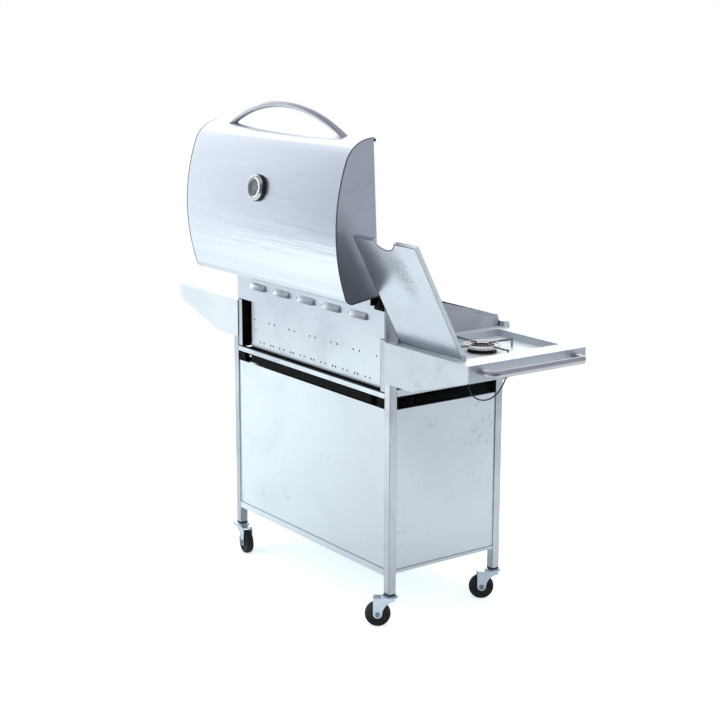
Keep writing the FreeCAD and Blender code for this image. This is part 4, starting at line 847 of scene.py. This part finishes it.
# %% Helpers for the fire side
joint_rows = {row["name"]: row for row in frame["record"]["behaviour"]["joints"]}
HOOD_CORE = Vector(joint_rows["hood_hinge"]["pos_m"]) + Vector((0, 0.06, 0.215))
HOOD_CORE.x = 0
FIRE_CORE = Vector((0, 0, 0.80))
INWARD = 0.01


def looks_at(core):
    return lambda face: face.normal.dot(core - face.calc_center_median()) > INWARD


# Upward faces take the brightest steel as painted light; faces that look into the firebox take soot and
# painted shade.
def wall_finish(face):
    if faces_up(face):
        return 2
    return looks_at(FIRE_CORE)(face)


# Faces that look into the louvers take soot and painted shade; the louvers take their painted shade finish.
def band_finish(face):
    if face.normal.y < -0.3:
        return 1
    return 2 if face.calc_center_median().y > BAND_FACE + LOUVER_START else 0


# Painted shade: the tub's flanks and the faces that look into the firebox take the black finish.
def tub_flank(face):
    return abs(face.normal.x) > FACING or looks_at(FIRE_CORE)(face)


# %% [markdown]
# Each end of the hood's sheet is rolled into a thin bead, painted dark as painted shade along the end. A
# short strip of the hood's own mesh is cut off at each end. Its points, except those on the cut, move out
# along their normals.

# %% Dress the fire-side pieces
def hood_end_beads():
    beads = merged_copy("hood_shell")
    end_x = max(vert.co.x for vert in beads.verts)
    for side in (-1, 1):
        everything = [*beads.verts, *beads.edges, *beads.faces]
        bmesh.ops.bisect_plane(beads, geom=everything, plane_co=(side * (end_x - BEAD_DEPTH), 0, 0),
                               plane_no=(1, 0, 0))
    others = [face for face in beads.faces if abs(face.calc_center_median().x) < end_x - BEAD_DEPTH]
    bmesh.ops.delete(beads, geom=others, context="FACES")
    beads.normal_update()
    for vert in beads.verts:
        if not vert.is_boundary:
            vert.co += vert.normal * BEAD_OVERHANG
    put_piece("hood_end_beads", beads, ["seam_painted_shade"], "hood")


BAND_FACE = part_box("rear_screws")[0][1]
LOUVER_START = 0.4 * MM
BEAD_OVERHANG = 0.6 * MM
BEAD_DEPTH = 3.0 * MM
dress("hood_shell", "hood_steel", 0.5, others=["soot_and_painted_shade"], chosen=looks_at(HOOD_CORE))
hood_end_beads()
dress("hood_end_caps", "cap_steel", 0.4, others=["soot_and_painted_shade"], chosen=looks_at(HOOD_CORE))
dress("firebox_walls", "wall_steel", 0.8, ["soot_and_painted_shade", "painted_lit_steel"], wall_finish)
dress("louver_band", "sheet_steel", 0.4, ["soot_and_painted_shade", "louver_shade_and_highlight"], band_finish)
dress("burner_tub", "sheet_steel", 0.4, others=["soot_and_painted_shade"], chosen=tub_flank)
print("fire side dressed")

# %% Dress the black pieces
DARK_EDGES = {
    "tray_runners": ("black_enamel", 0.5), "grease_tray": ("black_enamel", 0.6),
    "hood_hinge_straps": ("black_enamel", 0.8), "hood_hinge_brackets": ("black_enamel", 0.8),
    "cooking_grates": ("cast_iron", 1.0), "side_burner_body": ("cast_iron", 0.8),
    "post_plugs": ("black_moulding", 0.8), "igniter_switch": ("black_moulding", 0.6),
    "igniter_button": ("black_moulding", 1.6), "gas_manifold": ("supply_pipe", 0.6),
    "lead_grommets": ("tread_rubber", 1.4), "hood_bumpers": ("tread_rubber", 1.6),
    "thermometer_needle": ("white_paint", 0.25), "side_burner_knob": ("black_moulding", 1.4),
    "rear_right_caster_brake": ("black_moulding", 1.0),
    "front_right_caster_brake": ("black_moulding", 1.0),
}
for index in range(1, 6):
    DARK_EDGES[f"burner_knob_{index}"] = ("black_moulding", 1.4)
for node, (material, width) in DARK_EDGES.items():
    dress(node, material, width)
print(len(DARK_EDGES), "dark pieces dressed")

# %% [markdown]
# ## Turned pieces
# Wheels, the thermometer's rim, the burner's crown and the screw heads are turned shapes. Half of each
# outline is drawn once and taken a full turn, which keeps it round however close the camera comes. It is
# done ring by ring, because the spin operator orders its faces anew in each run. The joints of the frame
# say where each axis lies.

# %% Helpers for turned pieces
def turned(outline, steps, place, closed=False):
    shape = bmesh.new()
    turns = [Matrix.Rotation(math.tau * step / steps, 3, "Z") for step in range(steps)]
    rings = []
    for radius, height in outline:
        point = Vector((radius, 0, height)) * MM
        if radius:
            rings.append([shape.verts.new(turn @ point) for turn in turns])
        else:
            rings.append([shape.verts.new(point)] * steps)
    for ring, following in zip(rings, rings[1:] + rings[:closed]):
        for step in range(steps):
            corners = ring[step - 1], ring[step], following[step], following[step - 1]
            shape.faces.new(list(dict.fromkeys(corners)))
    bmesh.ops.recalc_face_normals(shape, faces=shape.faces)
    bmesh.ops.transform(shape, matrix=place, verts=shape.verts)
    return shape


def joint_frame(name, outward=1):
    row = joint_rows[name]
    turn = (Vector(row["axis"]) * outward).to_track_quat("Z", "Y").to_matrix().to_4x4()
    return Matrix.Translation(row["pos_m"]) @ turn


def off_axis(point, place):
    local = place.inverted() @ point
    return math.hypot(local.x, local.y) / MM, local.z / MM


# %% Turn the caster wheels and dress their forks
TYRE_HALF = [(4.05, 13.2), (10.2, 13.2), (11.4, 12.6), (12.0, 11.4), (12.5, 9.6), (24.6, 9.0), (26.2, 9.5),
             (27.4, 10.9), (28.8, 11.8), (30.6, 12.0), (33.0, 11.8), (35.0, 10.3), (36.4, 8.2), (37.2, 5.0),
             (37.5, 2.4)]
TYRE = TYRE_HALF + [(radius, -height) for radius, height in reversed(TYRE_HALF)]
BOLT_RADIUS = 7.4
BOLT_FROM = 16.1


def bolt_end(axle):
    def chosen(face):
        radius, along = off_axis(face.calc_center_median(), axle)
        return radius < BOLT_RADIUS and abs(along) > BOLT_FROM
    return chosen


for corner in ("rear_left", "front_left", "rear_right", "front_right"):
    axle = joint_frame(f"{corner}_roll")
    wheel = f"{corner}_caster_wheel"
    put_piece(wheel + "_turned", turned(TYRE, 72, axle, closed=True), ["tread_rubber"], body_of_node[wheel],
              [wheel])
    dress(f"{corner}_caster_fork", "zinc_plate", 0.6, others=["dull_bolt"], chosen=bolt_end(axle))
print("four casters")

# %% Turn the thermometer's case and dial
GAUGE = joint_frame("thermometer_pointer", outward=-1)
CASE = [(0, -60), (5, -60), (5, 0.3), (38.2, 0.3), (39, 1.1), (39, 3.2), (38.3, 5.4), (37.0, 9.0),
        (35.4, 13.6), (34.4, 15.2), (33.0, 15.9), (31.0, 16.0), (26.6, 15.6), (24.6, 14.8), (24.1, 14.1),
        (26, 14), (26, 6), (0, 6)]
DIAL = [(0, 6.02), (25.9, 6.02), (25.9, 7), (18.6, 7), (3.2, 7), (1.5, 7.1), (1.5, 11.2), (0, 11.5)]
RING_INNER = 18.6
BODY_DEPTH = 9.0
case = turned(CASE, 96, GAUGE)
for face in case.faces:
    radius, level = off_axis(face.calc_center_median(), GAUGE)
    face.material_index = int(level < BODY_DEPTH)
put_piece("thermometer_rim", case, ["wire_chrome", "black_moulding"], "hood", ["thermometer_case"])
dial = turned(DIAL, 72, GAUGE)
for face in dial.faces:
    radius, level = off_axis(face.calc_center_median(), GAUGE)
    face.material_index = int(radius > RING_INNER)
put_piece("thermometer_face", dial, ["dial_paint", "dial_ink"], "hood", ["thermometer_dial"])
print("thermometer case and dial")

# %% [markdown]
# The dial's scale is printed: fine strokes round the dark ring, with a heavier one every third, and plain
# figures inside. Each stroke is a thin block laid on the dial. The figures are text, made into a mesh.

# %% Print the dial's scale
SCALE_SWEEP = math.radians(270)
STROKES = 18
STROKES_OUT = 25.0
STROKES_LEVEL = 7.06
FIGURES_OUT = 14.4 * MM
FIGURES_LEVEL = 7.08 * MM
scale_print = bmesh.new()
for step in range(STROKES + 1):
    heavy = step % 3 == 0
    turn = Matrix.Rotation(SCALE_SWEEP / 2 - SCALE_SWEEP * step / STROKES, 4, "Z")
    long = 4.6 if heavy else 3.0
    shift = Matrix.Translation((0, (STROKES_OUT - long / 2) * MM, STROKES_LEVEL * MM))
    stretch = Matrix.Diagonal(((0.9 if heavy else 0.5) * MM, long * MM, 0.1 * MM, 1))
    bmesh.ops.create_cube(scale_print, size=1.0, matrix=GAUGE @ turn @ shift @ stretch)
put_piece("dial_strokes", scale_print, ["white_paint"], "hood")

figures = bmesh.new()
for step in range(0, STROKES + 1, 3):
    words = bpy.data.curves.new("figure", "FONT")
    words.body = str(100 + step // 3 * 100)
    words.size = 3.6 * MM
    words.align_x = "CENTER"
    words.align_y = "CENTER"
    holder = bpy.data.objects.new("figure", words)
    flat = bpy.data.meshes.new_from_object(holder)
    angle = SCALE_SWEEP / 2 - SCALE_SWEEP * step / STROKES
    spot = (-math.sin(angle) * FIGURES_OUT, math.cos(angle) * FIGURES_OUT, FIGURES_LEVEL)
    flat.transform(GAUGE @ Matrix.Translation(spot))
    figures.from_mesh(flat)
    bpy.data.objects.remove(holder)
    bpy.data.curves.remove(words)
    bpy.data.meshes.remove(flat)
put_piece("dial_figures", figures, ["white_paint"], "hood")
print(STROKES + 1, "strokes on the dial")

# %% Turn the side burner's crown
burner_low, burner_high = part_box("side_burner_cap")
burner_place = Matrix.Translation(((burner_low[0] + burner_high[0]) / 2,
                                   (burner_low[1] + burner_high[1]) / 2, burner_low[2]))
CROWN = [(0, 0), (41.8, 0), (43.2, 0.6), (43.9, 1.6), (43.9, 5.2), (43.4, 6.2), (42.1, 6.9), (40, 7.0),
         (36.1, 7.0), (34.7, 6.4), (32, 3.3), (30.9, 3.0), (12, 2.8), (0, 3.2)]
crown = turned(CROWN, 96, burner_place)
DISH_RADIUS = 34.5
RIM_RADIUS = 43
rim_faces = []
for face in crown.faces:
    radius, level = off_axis(face.calc_center_median(), burner_place)
    face.material_index = int(radius < DISH_RADIUS)
    if radius > RIM_RADIUS and abs(face.normal.z) < 0.2:
        rim_faces.append(face)
rim_faces.sort(key=lambda face: math.atan2(*(face.calc_center_median() - burner_place.translation).xy))
ports = rim_faces[::4]
bmesh.ops.inset_individual(crown, faces=ports, thickness=0.7 * MM, depth=-1.2 * MM)
for face in ports:
    face.material_index = 1
put_piece("side_burner_crown", crown, ["burner_aluminium", "cast_iron"], "cart", ["side_burner_cap"])
RING_RADIUS = 48.5
WIRE_RADIUS = 3.2


def not_ring(face):
    radius, level = off_axis(face.calc_center_median(), burner_place)
    return abs(radius - RING_RADIUS) > WIRE_RADIUS


# Painted highlight and shade: the ring takes the bright crown finish and the prongs the dark wire finish.
dress("pot_support", "burner_aluminium", 0.3, ["burner_wire"], not_ring)
print(len(ports), "gas ports in the crown")

# %% Turn the rear screws
SCREW = [(0, 0.02), (4.5, 0.02), (4.5, 0.6), (4.1, 1.3), (3.2, 1.9), (2.0, 2.2), (1.3, 2.25), (0.9, 1.9),
         (0, 1.85)]
screw_low, screw_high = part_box("rear_screws")
SCREW_RADIUS = 4.5 * MM
screws = bmesh.new()
for step in range(4):
    x = screw_low[0] + SCREW_RADIUS + (screw_high[0] - screw_low[0] - SCREW_RADIUS * 2) * step / 3
    spot = Matrix.Translation((x, screw_low[1], (screw_low[2] + screw_high[2]) / 2))
    head = turned(SCREW, 24, spot @ Matrix.Rotation(-math.pi / 2, 4, "X"))
    loose = bpy.data.meshes.new("screw")
    head.to_mesh(loose)
    head.free()
    screws.from_mesh(loose)
    bpy.data.meshes.remove(loose)
put_piece("band_screws", screws, ["rail_steel"], "cart", ["rear_screws"])
print("four screw heads")

# %% [markdown]
# ## Knob pointers
# A white stroke on each knob's grip says where it points. It is a thin block on the front of the grip.

# %% Paint the knob pointers
STROKE_FROM_AXIS = Vector((0, -29.34 * MM, 13.5 * MM))
STROKE_SIZE = Matrix.Diagonal((2.2 * MM, 0.3 * MM, 11.0 * MM, 1))
for index in range(1, 6):
    spot = Vector(joint_rows[f"burner_valve_{index}"]["pos_m"]) + STROKE_FROM_AXIS
    stroke = bmesh.new()
    bmesh.ops.create_cube(stroke, size=1.0, matrix=Matrix.Translation(spot) @ STROKE_SIZE)
    knob = f"burner_knob_{index}"
    put_piece(f"knob_stroke_{index}", stroke, ["white_paint"], body_of_node[knob])
print("five pointers")

# %% Finish the lens
lens = cad_nodes["thermometer_lens"].data
lens.materials.clear()
lens.materials.append(finishes["dial_glass"])
print("lens finished")
